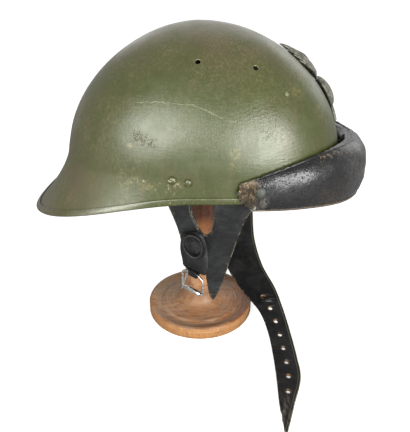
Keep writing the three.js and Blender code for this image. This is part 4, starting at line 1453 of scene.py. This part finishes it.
wood.tint((0.12, 0.05, 0.025, 1), spread(mottle(turned_place, 2.1, 4.0, 0.6), 0.53, 0.66), 0.45)
# The front edge is redder and the far side greener. The stem's foot is darker: a deeper stain, and painted
# shade round the foot.
wood.tint((0.14, 0.05, 0.024, 1), spread(wood.part("X"), 0.03, 0.054), 0.6)
wood.tint((0.14, 0.105, 0.058, 1), near_spot(on_wood, (-40, 20, 11), 5, 36), 0.6)
wood.tint((0.19, 0.095, 0.042, 1), near_spot(on_wood, (2, -12, 16), 12, 28), 0.55)
# The base's side shows upright grain, and a broken pale line that is a painted highlight.
side_place = stretched(on_wood, (1, 1, 0.16))
side_grain = spread(mottle(side_place, 700.0, 6.0, 0.75), 0.3, 0.7)
side_colour = blend(side_grain, (0.3, 0.125, 0.042, 1), (0.44, 0.23, 0.085, 1))
side_spots = spread(mottle(on_wood, 95.0, 6.0, 0.7), 0.48, 0.62)
side_colour = blend(times(side_spots, 0.6), side_colour, (0.19, 0.075, 0.03, 1))
from_line = maths("ABSOLUTE", minus(wood.part("Z"), 0.0084))
line_break = spread(mottle(on_wood, 70.0, 5.0, 0.7), 0.4, 0.6)
painted_side_highlight = times(spread(from_line, 0.0006, 0.0002), line_break, 0.5)
side_colour = blend(painted_side_highlight, side_colour, (0.6, 0.4, 0.2, 1))
wood.tint(side_colour, spread(from_axis, 0.0543, 0.0549), 0.9)
# The stain on the stem is dark and glossy. An orange patch on it is a painted highlight.
stem_grain = spread(mottle(side_place, 110.0, 5.0, 0.6), 0.36, 0.7)
stem_colour = blend(stem_grain, (0.045, 0.014, 0.006, 1), (0.11, 0.035, 0.013, 1))
stem_painted_glow = times(near_spot(on_wood, (4, -16, 104), 2, 16), 0.55)
stem_colour = blend(stem_painted_glow, stem_colour, (0.34, 0.125, 0.045, 1))
# Above the base the stem's dark colour is partly its stain and partly painted shade from the helmet over it.
stem_stain_and_shade = spread(wood.part("Z"), 0.045, 0.12)
wood.tint(stem_colour, stem_stain_and_shade, 0.93)
wood.gloss = minus(spread(mottle(on_wood, 200.0), 0.3, 0.7, 0.38, 0.55), times(stem_stain_and_shade, 0.2))
wood.height = mottle(turned_place, 2.6, 3.0, 0.6)
wood.lift(mottle(on_wood, 600.0, 3.0), 0.6)
wood.apply(0.1)
for stand_node, stand_profile in [
    ("stand_base", base_profile), ("stand_stem", stem_profile), ("stand_head", head_profile),
]:
    stand_shape = bmesh.new()
    spun(stand_shape, stand_profile, stand_steps)
    show(stand_node, stand_shape, wood, [stand_node])
